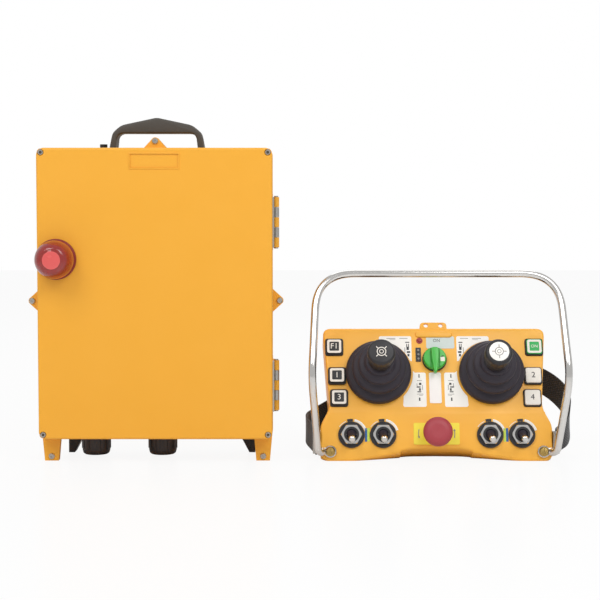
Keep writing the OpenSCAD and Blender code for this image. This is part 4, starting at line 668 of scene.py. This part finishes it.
GUARD_R = 5.0
GUARD_LINE = [(150, 11, -5), (157, 8, 1), (166, 84, 83), (159, 228, 87), (0, 228, 87)]
GUARD_REACHES = [0, 9, 24, 50, 0]
EYE = [(7.4, 0.1), (8, 0.7), (8, 3.5), (7.4, 4.1)]
FOOT_U, FOOT_S = 141.0, 50.5
TONGUE_U = 149.0


def tube(name, points, radius, steps=6):
    """Round tube with closed ends along a line of points"""
    curve = bpy.data.curves.new(name, "CURVE")
    curve.dimensions = "3D"
    line = curve.splines.new("POLY")
    line.points.add(len(points) - 1)
    for point, place in zip(line.points, points):
        point.co = (*place, 1)
    curve.bevel_depth = radius
    curve.bevel_resolution = steps
    curve.use_fill_caps = True
    holder = bpy.data.objects.new(name, curve)
    bpy.context.scene.collection.objects.link(holder)
    hold(holder)
    bpy.ops.object.convert(target="MESH")
    piece = named(name)
    edit_all(piece)
    bpy.ops.mesh.remove_doubles(threshold=NEAR)
    close_up()
    return piece


half_guard = soften(GUARD_LINE, GUARD_REACHES, 14)
guard_line = half_guard + [Vector((-p.x, p.y, p.z)) for p in reversed(half_guard[:-1])]
guard = tube("guard_tube", guard_line, GUARD_R)
eyes = copies(turned("guard_eye", EYE, 48), ["guard_eye"] * 2)
tongues = copies(block("guard_tongue", 8, 10, 4, 0, 0.6), ["guard_tongue"] * 2)
for side, eye, tongue in zip((-1, 1), eyes, tongues):
    to_lower_deck(move(eye, side * FOOT_U, -FOOT_S))
    to_lower_deck(move(tongue, side * TONGUE_U, -FOOT_S, 0.1))
guard = joined("guard_tube", [guard] + eyes + tongues)
settle(guard, DECK, chrome_plate, "transmitter")
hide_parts("guard_bar")

# Transmitter: joystick boots, in two parts each, a lower and an upper one

SIDES = ((-1, "left"), (1, "right"))
BOOT_WALL = 1.8
LOWER_BOOT = [(40, 0.1), (43.4, 0.1), (44, 2.5), (43.8, 9), (41, 12), (34.6, 13.8), (32.6, 16), (33.4, 18),
              (36, 20), (36.4, 25.8), (34, 28.8), (28.6, 30.6)]
UPPER_BOOT = [(28.6, 30.6), (25.8, 32.4), (26, 34), (28.4, 36), (28.8, 40.6), (26.6, 43.2), (21.4, 44.6),
              (19.6, 46.2), (20, 49.4), (18, 51.4), (13.6, 51.9)]


def ring_profile(points, reach=2.0, count=4):
    """Profile of a turned piece with its corners rounded, none of them past the middle of a side"""
    line = [Vector((r, z, 0)) for r, z in points]
    sides = [(b - a).length for a, b in zip(line, line[1:])]
    reaches = [0] + [min(reach, 0.45 * a, 0.45 * b) for a, b in zip(sides, sides[1:])] + [0]
    return [(p.x, p.y) for p in soften(line, reaches, count)]


def boot_part(name, points):
    """Rubber bellows, open at both ends"""
    piece = turned(name, ring_profile(points), 72)
    hollow(piece, lambda c, n: c.xy.length < NEAR, BOOT_WALL)
    return piece


lower_boots = copies(boot_part("boot_lower", LOWER_BOOT), [f"{label}_boot_lower" for _, label in SIDES])
upper_boots = copies(boot_part("boot_upper", UPPER_BOOT), [f"{label}_boot_upper" for _, label in SIDES])
for (side, label), lower, upper in zip(SIDES, lower_boots, upper_boots):
    at_stick = on(DECK, side * STICK_U, STICK_V)
    settle(lower, at_stick, boot_rubber, "transmitter", 60)
    lower.parent = None
    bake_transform(lower)
    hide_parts(f"{label}_boot")
    settle(upper, at_stick, boot_rubber, f"{label}_gimbal", 60)
    upper.parent = None
    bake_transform(upper)

# Joystick grips: waisted knobs with a flat printed top, each on its shaft

GRIP = [(8, 30), (8, 52.6), (14.6, 52.8), (15.6, 54), (15.8, 60), (16.8, 67), (17.8, 73), (18, 78),
        (18, 84), (17.3, 86.4), (15.6, 87.7), (14, 88)]
SHAFT = [(5, -18), (5, 30.5)]
grip = joined("grip", [turned("grip", ring_profile(GRIP, 0.8, 3), 72), turned("shaft", SHAFT, 32)])
grips = copies(grip, [f"{label}_grip" for _, label in SIDES])
for (side, label), grip in zip(SIDES, grips):
    settle(grip, on(DECK, side * STICK_U, STICK_V), black_nylon, f"{label}_stick")
    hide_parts(f"{label}_stick")

# Transmitter: printed films on the panel

FILM = 0.25              # thickness of a printed film
PRINT = 0.08             # how far print stands off the film
BOOT_GAP_R = 46.5        # the labels keep this far from a joystick's middle


def arc(x, y, r, start, end, count=10):
    """Points along a circle's arc, in degrees"""
    angles = [radians(start + (end - start) * i / count) for i in range(count + 1)]
    return [(x + r * cos(a), y + r * sin(a)) for a in angles]


def ring_part(outer, inner, start, end, count):
    """Outline of a part of a flat ring, between two angles"""
    return arc(0, 0, outer, start, end, count) + arc(0, 0, inner, end, start, count)


def rounded(x0, y0, x1, y1, r):
    """Outline of a rectangle with rounded corners, from its lower left one anticlockwise"""
    middles = ((x0 + r, y0 + r), (x1 - r, y0 + r), (x1 - r, y1 - r), (x0 + r, y1 - r))
    return [point for k, (x, y) in enumerate(middles)
            for point in arc(x, y, r, 180 + 90 * k, 270 + 90 * k, 4)]


def mirrored(points, side):
    """The outline on the panel's other half, where side is 1"""
    return points if side < 0 else [(-x, y) for x, y in reversed(points)]


def bars(name, places, side):
    """Printed dashes as one piece, mirrored where side is 1; each is (x, y, width, height)"""
    return joined(name, [move(block("dash", w, h, PRINT), -x * side, y, FILM) for x, y, w, h in places])


# The two lower labels curve round the boots, the two upper ones run out to a point beside them
UPPER_LABEL = [*arc(-76, 119, BOOT_GAP_R, 88, 23, 16), (-30.5, 136.0), *arc(-33, 169.5, 2.5, 0, 90, 5),
               *arc(-71.8, 169.5, 2.5, 90, 180, 5)]
LOWER_LABEL = [*arc(-76, 119, BOOT_GAP_R, 4, -44, 14), (-43.5, 75), *arc(-41, 74.3, 2.5, 180, 270, 4),
               *arc(-14.8, 74.3, 2.5, 270, 360, 5), *arc(-14.8, 117.5, 2.5, 0, 90, 5), (-27, 120)]
# Dashes, an arrow's shaft and blocks in dark ink, and fine rows of print in grey
UPPER_DARK = [(-36, 163.2, 5.5, 1.3), (-35.6, 154.5, 3.2, 4.6), (-34.6, 149.2, 4.6, 2.6),
              (-36.9, 158.4, 1.1, 5.2), (-34.4, 158.4, 1.1, 5.2), (-34.8, 144.8, 2.6, 3.4)]
UPPER_GREY = [(-58, 168.8, 12, 0.8), (-41, 168.8, 11, 0.8), (-56, 167.0, 8, 0.5), (-39.5, 151.8, 0.9, 8.0)]
LOWER_DARK = [(-21.4, 115.2, 1.5, 5.0), (-21.4, 82.4, 1.9, 4.6), (-20.2, 104.0, 3.0, 3.0),
              (-22.4, 99.6, 5.4, 1.7), (-20.6, 96.0, 2.3, 3.6), (-21.6, 92.8, 5.0, 1.4)]
LOWER_GREY = [(-21, 108.6, 7.0, 0.7), (-24.4, 101.8, 0.8, 6.0), (-20.6, 89.6, 8.6, 0.7),
              (-19.4, 87.9, 5.0, 0.6), (-17.4, 99.0, 0.8, 7.0)]
for side, label in SIDES:
    for film_name, outline in (("upper", UPPER_LABEL), ("lower", LOWER_LABEL)):
        film = cut_out(f"{label}_{film_name}_label", mirrored(outline, side), FILM)
        settle(film, DECK, label_film, "transmitter")
    dark = bars(f"{label}_label_signs", UPPER_DARK + LOWER_DARK, side)
    settle(dark, DECK, dark_ink, "transmitter")
    grey = bars(f"{label}_label_lines", UPPER_GREY + LOWER_GREY, side)
    settle(grey, DECK, grey_ink, "transmitter")

# Pale plate above the key knob, and its word
plate = cut_out("on_plate", rounded(-10.4, 154.4, 27.6, 171.8, 2.2), FILM)
settle(plate, DECK, pale_film, "transmitter")
word = lettering("on_plate_word", "ON", 4.2, PRINT)
settle(move(word, 3.6, 165.6, FILM), DECK, dark_ink, "transmitter")

# Power lamp in its ring, and the block of three lamps
POWER_LAMP = (-19.5, 165.46)
THREE_LAMPS = (-21.5, 145.45)
LAMP_PITCH = 6.0
led_ring = turned("power_lamp_ring", [(4.3, 0), (4.3, 0.5), (3.9, 0.9), (3.3, 0.9)], 40)
settle(move(led_ring, *POWER_LAMP), DECK, red_cap, "transmitter")
led = turned("power_lamp", ring_profile([(2.7, 0.6), (2.7, 1.5), (1.8, 2.2), (0.7, 2.4)], 0.5, 3), 32)
settle(move(led, *POWER_LAMP), DECK, lamp_red, "transmitter")
small = turned("small_lamp", ring_profile([(1.7, 0.5), (1.7, 1.5), (1.0, 2.0), (0.3, 2.1)], 0.4, 3), 24)
three = [move(twin, THREE_LAMPS[0], THREE_LAMPS[1] + LAMP_PITCH * i)
         for i, twin in zip((-1, 0, 1), copies(small, ["small_lamp"] * 3))]
settle(joined("three_lamps", three), DECK, grey_ink, "transmitter")

# Emergency stop: curved arrows on the yellow plate
ESTOP_PLATE_T = 1.6
ARROW_R, ARROW_W = 24.0, 1.2
ARROW_START, ARROW_NECK, ARROW_TIP = -14, 10, 16
BARB_SHARE = 0.07        # half width of the arrow's head, of its radius
arrows = []
for middle in (180, 0):
    first, neck = middle + ARROW_START, middle + ARROW_NECK
    band = ring_part(ARROW_R + ARROW_W / 2, ARROW_R - ARROW_W / 2, first, neck, 6)
    corners = ((neck - 1, 1 - BARB_SHARE), (middle + ARROW_TIP, 1), (neck - 1, 1 + BARB_SHARE))
    head = [(ARROW_R * cos(radians(a)) * k, ARROW_R * sin(radians(a)) * k) for a, k in corners]
    arrows += [cut_out("band", band, PRINT), cut_out("head", head[::-1], PRINT)]
arrows = joined("stop_plate_arrows", arrows)
settle(arrows, on(LOWER_DECK, 0, -ESTOP_S, ESTOP_PLATE_T), grey_ink, "transmitter")

# Emergency stop: mushroom head with a fine rim, and a shallow dish in its crown
STOP_HEAD = [(12.4, 17.1), (18.5, 19.6), (19.4, 21.2), (19.6, 23.0), (19.2, 26.0), (17.6, 28.9), (14.2, 31.0),
             (9.6, 31.9), (5.0, 31.8), (1.0, 31.7)]
stop_head = turned("stop_button_head", ring_profile(STOP_HEAD, 0.9, 3), 80)
settle(stop_head, on(LOWER_DECK, 0, -ESTOP_S), red_cap, "estop_head", 50)
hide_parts("estop_head")

# Key knob: a disc with a raised bar between two grooves; the bar runs out to a tip
KEY_FOOT = 3.3
KEY_DISC_T = 7.0
KEY_BAR_T = 7.4
KEY_DISC = [(15.2, 0), (15.5, 0.4), (15.5, 5.2), (14.4, 6.8), (12.8, KEY_DISC_T), (1, KEY_DISC_T)]
HALF_BAR = [(-3, 13.3), (-5, 10.5), (-5, 0), (-2.5, -19), (-1.2, -22.4)]
GROOVE_U, GROOVE_FLOOR = 5.7, 5.2
disc = turned("key_disc", ring_profile(KEY_DISC, 0.6, 3), 72)
carve(disc, *[move(block("groove", 1.3, 27, 4), side * GROOVE_U, 0, GROOVE_FLOOR) for side in (-1, 1)])
key_bar = cut_out("key_bar", HALF_BAR + [(-x, y) for x, y in HALF_BAR[::-1]], KEY_BAR_T)
round_edges(key_bar, lambda a, b: min(a.z, b.z) > KEY_BAR_T - 0.1, 1.4, 4)
knob = joined("key_grip", [disc, move(key_bar, z=5.6)])
settle(knob, on(DECK, 0, KEY_V, KEY_FOOT), green_gloss, "key_knob")
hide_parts("key_knob")
at_disc_top = on(DECK, 0, KEY_V, KEY_FOOT + KEY_DISC_T)
flag = cut_out("key_flag", rounded(7.2, -5.2, 13.0, 0.8, 0.8), PRINT)
settle(flag, at_disc_top, white_cap, "key_knob")
flag_arrow = cut_out("key_flag_arrow", [(8.4, 0.2), (8.4, 2.4), (13.2, 3.4)][::-1], PRINT)
settle(flag_arrow, at_disc_top, dark_ink, "key_knob")

# Push buttons: a frame in its pocket, and a cap that moves in it with a white border and a figure

CAP_TOP, CAP_T, CAP_SIDE = 4.9, 2.9, 20.6
FRAME_SIDE, FRAME_TOP = 24.2, 2.4
FRAME_SINK = 1.45        # how deep the frame stands in its pocket
CAP_GAP = 0.5            # between cap and frame
SLEEVE_SIDE, SLEEVE_L, SLEEVE_LOW = 15.0, 7.4, -9.0
STEM_SIDE, STEM_L, STEM_BORE = 11.0, 8.3, 11.4
STEM_SINK = 0.1          # the stem's end lies this deep in the cap
BORDER_SIDE, BORDER_HOLE = 19.0, 13.0
BADGE_T = 0.2            # thickness of what is printed on a cap or a grip
BUTTONS = (("button_f1", -1, 0, "F1"), ("button_1", -1, 1, "1"), ("button_3", -1, 2, "3"),
           ("button_start", 1, 0, "ON"), ("button_2", 1, 1, "2"), ("button_4", 1, 2, "4"))
ON_WHITE = ("button_2", "button_4")
FIGURE_H, WORD_H = 7.6, 4.0

outer = move(block("frame", FRAME_SIDE, FRAME_SIDE, FRAME_TOP + FRAME_SINK, 3.4, 1.0), z=-FRAME_SINK)
carve(outer, bar_cutter(0, 0, CAP_SIDE + CAP_GAP, CAP_SIDE + CAP_GAP, 0.5 - FRAME_SINK, CUT_HIGH, 2.6),
      bar_cutter(0, 0, STEM_BORE, STEM_BORE, -3, 2, 0.8))
sleeve = move(block("sleeve", SLEEVE_SIDE, SLEEVE_SIDE, SLEEVE_L, 2.2), z=SLEEVE_LOW)
carve(sleeve, bar_cutter(0, 0, STEM_BORE, STEM_BORE, -10, 0, 0.8))
frames = copies(joined("frame", [outer, sleeve]), ["frame"] * len(BUTTONS))

cap_low = CAP_TOP - CAP_T
cap = move(block("cap", CAP_SIDE, CAP_SIDE, CAP_T, 2.8, 0.8), z=cap_low)
stem = move(block("stem", STEM_SIDE, STEM_SIDE, STEM_L, 0.9), z=cap_low + STEM_SINK - STEM_L)
caps = copies(joined("cap", [cap, stem]), [f"{body}_cap" for body, *_ in BUTTONS])

border = carve(block("border", BORDER_SIDE, BORDER_SIDE, BADGE_T, 2.8),
               bar_cutter(0, 0, BORDER_HOLE, BORDER_HOLE, -1, 1, 1.2))
borders = copies(border, [f"{body}_border" for body, *_ in BUTTONS if body not in ON_WHITE])

for (body, side, row, figure), frame_ring, cap in zip(BUTTONS, frames, caps):
    place = side * button_u(row), BUTTON_ROWS[row]
    move(frame_ring, *place)
    if body in ON_WHITE:
        cap_finish, slot = white_cap, "white_plastic"
        ink, ink_slot = dark_ink, "black_plastic"
    else:
        is_start = body == "button_start"
        cap_finish, slot = (green_cap, "green_plastic") if is_start else (black_nylon, "black_plastic")
        ink, ink_slot = white_cap, "white_plastic"
    settle(cap, on(DECK, *place), cap_finish, body)
    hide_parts(body)
    at_cap = on(DECK, *place, CAP_TOP)
    if body not in ON_WHITE:
        settle(borders.pop(0), at_cap, white_cap, body)
    sign = lettering(f"{body}_figure", figure, WORD_H if figure == "ON" else FIGURE_H, BADGE_T)
    settle(sign, at_cap, ink, body)
frames = joined("push_button_frames", frames)
settle(frames, DECK, black_nylon, "transmitter")
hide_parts("button_frames")

# Joystick emblems: a ring with four ticks round a smaller ring
GRIP_TOP = 88.0
RING_STEPS = 48
INNER_SHARE, THIN_SHARE = 0.45, 0.8      # of the inner ring's radius and width, against the outer one's
ROUND_BADGE = [(12.9, 0), (12.9, 0.4), (12.6, 0.6)]


def emblem(name, ring_r, reach, width, turn):
    """Ring, small inner ring and four ticks as one flat print"""
    parts = []
    full = 360 * (RING_STEPS - 1) / RING_STEPS
    for r, band in ((ring_r, width), (ring_r * INNER_SHARE, width * THIN_SHARE)):
        ring = cut_out("ring", arc(0, 0, r + band / 2, 0, full, RING_STEPS - 1), BADGE_T)
        parts.append(carve(ring, post(0, 0, r - band / 2, -1, 1, RING_STEPS)))
    ticks = copies(move(block("tick", reach - ring_r, width, BADGE_T), (reach + ring_r) / 2), ["tick"] * 4)
    parts += [move(tick, turn=turn + 90 * k) for k, tick in enumerate(ticks)]
    return joined(name, parts)


left_top = on(DECK, -STICK_U, STICK_V, GRIP_TOP)
right_top = on(DECK, STICK_U, STICK_V, GRIP_TOP)
settle(emblem("left_emblem", 5.6, 9.6, 1.0, 45), left_top, white_cap, "left_stick")
settle(turned("right_badge", ROUND_BADGE, 64), right_top, label_film, "right_stick")
settle(emblem("right_emblem", 5.2, 9.4, 1.0, 0), on(right_top, 0, 0, 0.55), grey_ink, "right_stick")

# Toggles: legends and colour strips on the panel, and a rubber boot round each lever's foot
LEGENDS = (("white", 21.5, 18.3, 18, 78, 12), ("white", 19.6, 18.8, 112, 146, 8),
           ("dark", 21.5, 18.0, 84, 106, 5))
STRIP_W, STRIP_H = 3.2, 18.0
legends = {"white": [], "dark": []}
for ink, *band in LEGENDS:
    legend = cut_out("legend", ring_part(*band), FILM)
    for u, twin in zip(TOGGLE_U, copies(legend, ["legend"] * len(TOGGLE_U))):
        legends[ink].append(move(twin, u, -TOGGLE_S))
strips = {"blue": [], "lime": []}
between = (TOGGLE_U[3] + TOGGLE_U[2]) / 2
for side in (-1, 1):
    for colour, offset in (("blue", STRIP_W / 2), ("lime", -STRIP_W / 2)):
        strip = block("strip", STRIP_W, STRIP_H, FILM)
        strips[colour].append(move(strip, side * (between + offset), -TOGGLE_S))
settle(joined("toggle_legends", legends["white"]), LOWER_DECK, label_film, "transmitter")
settle(joined("toggle_marks", legends["dark"]), LOWER_DECK, dark_ink, "transmitter")
settle(joined("blue_strips", strips["blue"]), LOWER_DECK, blue_film, "transmitter")
settle(joined("lime_strips", strips["lime"]), LOWER_DECK, lime_film, "transmitter")

PIVOT_H = 5.0
THROW_HALF = 20.0        # degrees that the levers lean at rest
BALL_R = 6.9
LEVER_BOOT = ([(BALL_R * cos(radians(a)), BALL_R * sin(radians(a))) for a in range(-30, 50, 8)] +
              [(4.6, 6.6), (4.2, 8.0), (4.5, 9.0), (3.9, 10.4), (3.6, 15), (3.5, 19), (3.2, 19.8)])
lever_boots = copies(turned("toggle_boot", LEVER_BOOT, 40), [f"toggle_boot_{i}" for i in (1, 2, 3, 4)])
for i, (u, boot) in enumerate(zip(TOGGLE_U, lever_boots)):
    tilted = on(LOWER_DECK, u, -TOGGLE_S, PIVOT_H) @ Matrix.Rotation(radians(THROW_HALF), 4, "X")
    settle(boot, tilted, boot_rubber, f"toggle_lever_{i + 1}", 50)

# Waist strap: webbing that runs from bracket to bracket behind the body, its width upright

STRAP_W = 34.0
STRAP_T = 2.0
STRAP_ACROSS = 6         # faces across the strap
BRACKET = (PANEL_HALF_W, 14.0, -22.0)
STRAP_EXIT = [(5.5, 15, 0.9), (6.5, 15, 14)]
STRAP_SHARES = [(1.22, 0.30, -0.66), (1.22, 0.62, -0.90), (0.86, 0.86, -1.18), (0.40, 0.80, -1.30),
                (-0.30, 0.78, -1.30), (-0.68, 0.64, -1.24), (-1.01, 0.46, -1.10), (-1.15, 0.34, -0.72)]


def behind_bracket(side, out, up, back):
    """Point behind a bracket's lug: out of the side wall, up, and back"""
    c, s = cos(radians(LEAN)), sin(radians(LEAN))
    return Vector((side * (BRACKET[0] + out), BRACKET[1] + up * c + back * s, BRACKET[2] + up * s - back * c))


def guided(points, count):
    """Smooth line that starts and ends at the end points and is guided by the others"""
    last = len(points) - 1
    out = []
    for i in range(1, last):
        a = points[0] if i == 1 else (points[i - 1] + points[i]) / 2
        c = points[last] if i == last - 1 else (points[i] + points[i + 1]) / 2
        for k in range(0 if i == 1 else 1, count + 1):
            t = k / count
            out.append((1 - t) ** 2 * a + 2 * t * (1 - t) * points[i] + t * t * c)
    return out


strap_guides = ([behind_bracket(1, *p) for p in STRAP_EXIT] +
                [Vector((x * PANEL_HALF_W, y * PANEL_H, z * BODY_DEPTH)) for x, y, z in STRAP_SHARES] +
                [behind_bracket(-1, *p) for p in reversed(STRAP_EXIT)])
strap_line = guided(strap_guides, 16)
last_step = len(strap_line) - 1
lengths = [0.0]
for a, b in zip(strap_line, strap_line[1:]):
    lengths.append(lengths[-1] + (b - a).length)
bpy.ops.mesh.primitive_grid_add(x_subdivisions=last_step, y_subdivisions=STRAP_ACROSS, size=2, calc_uvs=True)
strap = named("webbing_strap")
upright = Vector((0, cos(radians(LEAN)), sin(radians(LEAN))))
for vertex in strap.data.vertices:
    i = round((vertex.co.x + 1) / 2 * last_step)
    before, after = strap_line[max(i - 1, 0)], strap_line[min(i + 1, last_step)]
    outward = (after - before).cross(upright).normalized()
    up = outward.cross(after - before).normalized()
    vertex.co = strap_line[i] + up * (vertex.co.y * STRAP_W / 2)
# The strap's own map is in metres, along it and across it
for uv in strap.data.uv_layers[0].data:
    share = uv.uv.x * last_step
    i = min(int(share + 1e-6), last_step - 1)
    along = lengths[i] + (lengths[i + 1] - lengths[i]) * (share - i)
    uv.uv = (along / 1000, uv.uv.y * STRAP_W / 1000)
thicken(strap, STRAP_T, offset=0)
settle(strap, DECK, webbing, "transmitter", 60)
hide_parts("waist_strap")

# Receiver: alarm lamp with a domed lens and a flat crown

LAMP_X, LAMP_Z = -127.9, 267.6
LENS_R, LENS_FOOT, LENS_SIDE, LENS_TOP = 25.0, 7.1, 14.0, 40.5
DOME_LOW, DOME_CROWN_R = 15.0, 12.0
CROWN = [(11.6, 40.2), (11.6, 40.9), (11.0, 41), (1, 41)]
dome_r, dome_h = LENS_R - DOME_CROWN_R, LENS_TOP - DOME_LOW
dome = [(DOME_CROWN_R + dome_r * cos(radians(a)), DOME_LOW + dome_h * sin(radians(a)))
        for a in range(8, 84, 8)]
lens_profile = [(LENS_R, LENS_FOOT), (LENS_R, LENS_SIDE), *dome,
                (11.8, 40.2), (11.4, LENS_TOP), (1, LENS_TOP)]
lens = turned("alarm_lamp_dome", lens_profile, 96)
at_lamp = on(LID_FACE, LAMP_X, LAMP_Z)
settle(lens, at_lamp, lamp_red, "lid", 40)
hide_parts("alarm_lamp_lens")
# The crown's lighter, pinker red is painted light on the lens's top
settle(turned("alarm_lamp_crown", CROWN, 64), at_lamp, crown_red_painted_light, "lid", 40)

# Receiver: rim round the bare label place near the lid's top edge

LABEL_Z = 395.0
LABEL_W, LABEL_H, LABEL_T = 66.0, 21.5, 0.8
RIM_W = 1.7
rim = block("label_place_rim", LABEL_W, LABEL_H, LABEL_T, 1.6, 0.35, 2)
carve(rim, bar_cutter(0, 0, LABEL_W - 2 * RIM_W, LABEL_H - 2 * RIM_W, -1, 2, 0.6))
settle(rim, on(LID_FACE, 0, LABEL_Z), yellow_coat, "lid")

# Receiver: carrying handle, a moulded grip that rises to its middle

CASE_TOP = 406.0
HANDLE_Y = 55.5
HANDLE_DEPTH = 30.0
HANDLE_FOOT_X = 56.5
BOW_OUTER = [(-63.6, 0, 0), (-58.6, 27, 0), (-47, 37, 0), (0, 47, 0), (47, 37, 0), (58.6, 27, 0),
             (63.6, 0, 0)]
BOW_UNDER = [(54.8, 0, 0), (51.6, 26.4, 0), (-51.6, 26.4, 0), (-54.8, 0, 0)]
bow_line = soften(BOW_OUTER, [0, 5, 6, 4, 6, 5, 0], 5) + soften(BOW_UNDER, [0, 9, 9, 0], 6)
bow = cut_out("handle_grip", [(p.x, p.y) for p in bow_line][::-1], HANDLE_DEPTH)
round_edges(bow, lambda a, b: abs(a.z - b.z) < 0.1 and min(a.y, b.y) > 0.1, 2.4, 3)
move(bow, z=-HANDLE_DEPTH / 2)
bow.data.transform(Matrix.Rotation(radians(90), 4, "X"))
feet = copies(block("foot", 16, 36, 4, 3, 1.2), ["foot"] * 2)
handle = joined("handle_grip", [bow] + [move(foot, x * HANDLE_FOOT_X) for x, foot in zip((-1, 1), feet)])
settle(handle, on(RECEIVER, 0, HANDLE_Y, CASE_TOP), handle_plastic, "receiver")
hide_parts("carry_handle")

# Receiver: domed nuts of the two cable glands, with gripping ribs

CASE_BOTTOM = 38.0
GLAND_X = (-86.922, 3.078)
GLAND_Y = 73.0
NUT_R = 18.7
NUT_LOW = -36.0
RIB_COUNT = 12
RIB_LOW = -28.0
NUT = [(9.0, -27), (9.0, NUT_LOW), (15.4, NUT_LOW), (17.6, -34.2), (NUT_R, -30), (NUT_R, -8.4),
       (NUT_R - 1, -7.5), (15.95, -7.5), (15.95, -25.4)]
nut = turned("gland_dome", ring_profile(NUT, 0.8, 3), 96)
ribs = copies(move(block("rib", 1.6, 4, 17.5, 0, 0.5), NUT_R, 0, RIB_LOW), ["rib"] * RIB_COUNT)
nut = joined("gland_dome", [nut] + [move(rib, turn=360 / RIB_COUNT * k) for k, rib in enumerate(ribs)])
nuts = copies(nut, ["gland_dome_1", "gland_dome_2"])
for x, nut in zip(GLAND_X, nuts):
    settle(nut, on(RECEIVER, x, GLAND_Y, CASE_BOTTOM), gland_nylon, "receiver")
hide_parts("gland_nuts")

# Receiver: painted shade in the hexagon sockets of the lid's corner screws, as thin dark inlays where the
# sockets' shade falls

LID_W, LID_H, LEG_H = 306.0, 380.0, 32.0
SCREW_INSET = 6.0
SOCKET_R, SOCKET_T = 2.1, 0.12
screw_places = [(x * (LID_W / 2 - SCREW_INSET), z)
                for x in (-1, 1) for z in (LEG_H + SCREW_INSET, LEG_H + LID_H - SCREW_INSET)]
socket = cut_out("socket", arc(0, 0, SOCKET_R, 0, 300, 5), SOCKET_T)
socket_shades = copies(socket, ["socket"] * len(screw_places))
socket_shades = joined("lid_screw_socket_shade", [move(twin, *place) for twin, place in zip(socket_shades, screw_places)])
# The dark inlays are painted shade: they stand for the shade inside the screws' sockets
settle(socket_shades, LID_FACE, dark_part_and_socket_shade, "lid")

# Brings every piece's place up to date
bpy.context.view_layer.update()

# Camera, light and floor

DISTANCE = 2.0
ELEVATION = radians(3.5)
AIM = (-0.0077, -0.066, 0.2147)
PICTURE_W = 0.78         # metres across the picture, at the lid's face
SENSOR_W = 36
camera_place = (AIM[0], AIM[1] - DISTANCE * cos(ELEVATION), AIM[2] + DISTANCE * sin(ELEVATION))
bpy.ops.object.camera_add(location=camera_place, rotation=(radians(90) - ELEVATION, 0, 0))
camera = bpy.context.active_object
camera.data.lens = SENSOR_W * DISTANCE / PICTURE_W
camera.data.sensor_width = SENSOR_W
bpy.context.scene.camera = camera

PLAIN_SHARE = 0.9        # how much of the floor the camera sees as plain white, over shadow and reflection
bpy.ops.mesh.primitive_plane_add(size=12, location=(0, 0, 0))
floor = named("floor")
floor_paint, floor_shader = new_material("white_studio_floor", Base_Color=srgb("#F2F2F2"), Roughness=0.22)
seen = add_node(floor_paint, "ShaderNodeLightPath")
share = add_node(floor_paint, "ShaderNodeMath", {0: seen.outputs["Is Camera Ray"], 1: PLAIN_SHARE},
                 operation="MULTIPLY")
glow = add_node(floor_paint, "ShaderNodeEmission", {"Color": srgb("#FFFFFF"), "Strength": 1.0})
seen_mix = add_node(floor_paint, "ShaderNodeMixShader", {
    0: share.outputs["Value"], 1: floor_shader.outputs["BSDF"], 2: glow.outputs["Emission"]})
feed(floor_paint, seen_mix.outputs["Shader"], floor_paint.node_tree.nodes["Material Output"], "Surface")
floor.data.materials.append(floor_paint)


def lamp(name, place, aim, size, watts):
    """Square white lamp at a place, turned towards its aim"""
    bpy.ops.object.light_add(type="AREA", location=place)
    light = bpy.context.active_object
    light.name = name
    light.data.size = size
    light.data.energy = watts
    light.rotation_euler = (Vector(aim) - Vector(place)).to_track_quat("-Z", "Y").to_euler()


lamp("key_light", (-1.2, -1.8, 2.2), (0, 0, 0.2), 1.4, 22)
lamp("fill_light", (1.1, -1.7, 1.9), (0.17, -0.05, 0.15), 1.4, 20)
lamp("back_light", (0.2, 1.6, 1.8), (0, 0, 0.3), 1.6, 12)

# The camera sees a white sky of strength 1, while a dimmer one lights the object
SKY_LIGHT = 0.62
world = bpy.data.worlds.new("studio")
bpy.context.scene.world = world
world.use_nodes = True
world.node_tree.nodes.clear()
is_seen = add_node(world, "ShaderNodeLightPath")
light_sky = add_node(world, "ShaderNodeBackground", {"Color": srgb("#FFFFFF"), "Strength": SKY_LIGHT})
white_sky = add_node(world, "ShaderNodeBackground", {"Color": srgb("#FFFFFF"), "Strength": 1.0})
mixed_sky = add_node(world, "ShaderNodeMixShader", {
    0: is_seen.outputs["Is Camera Ray"], 1: light_sky.outputs["Background"],
    2: white_sky.outputs["Background"]})
add_node(world, "ShaderNodeOutputWorld", {"Surface": mixed_sky.outputs["Shader"]})

bpy.context.scene.view_settings.view_transform = "Standard"
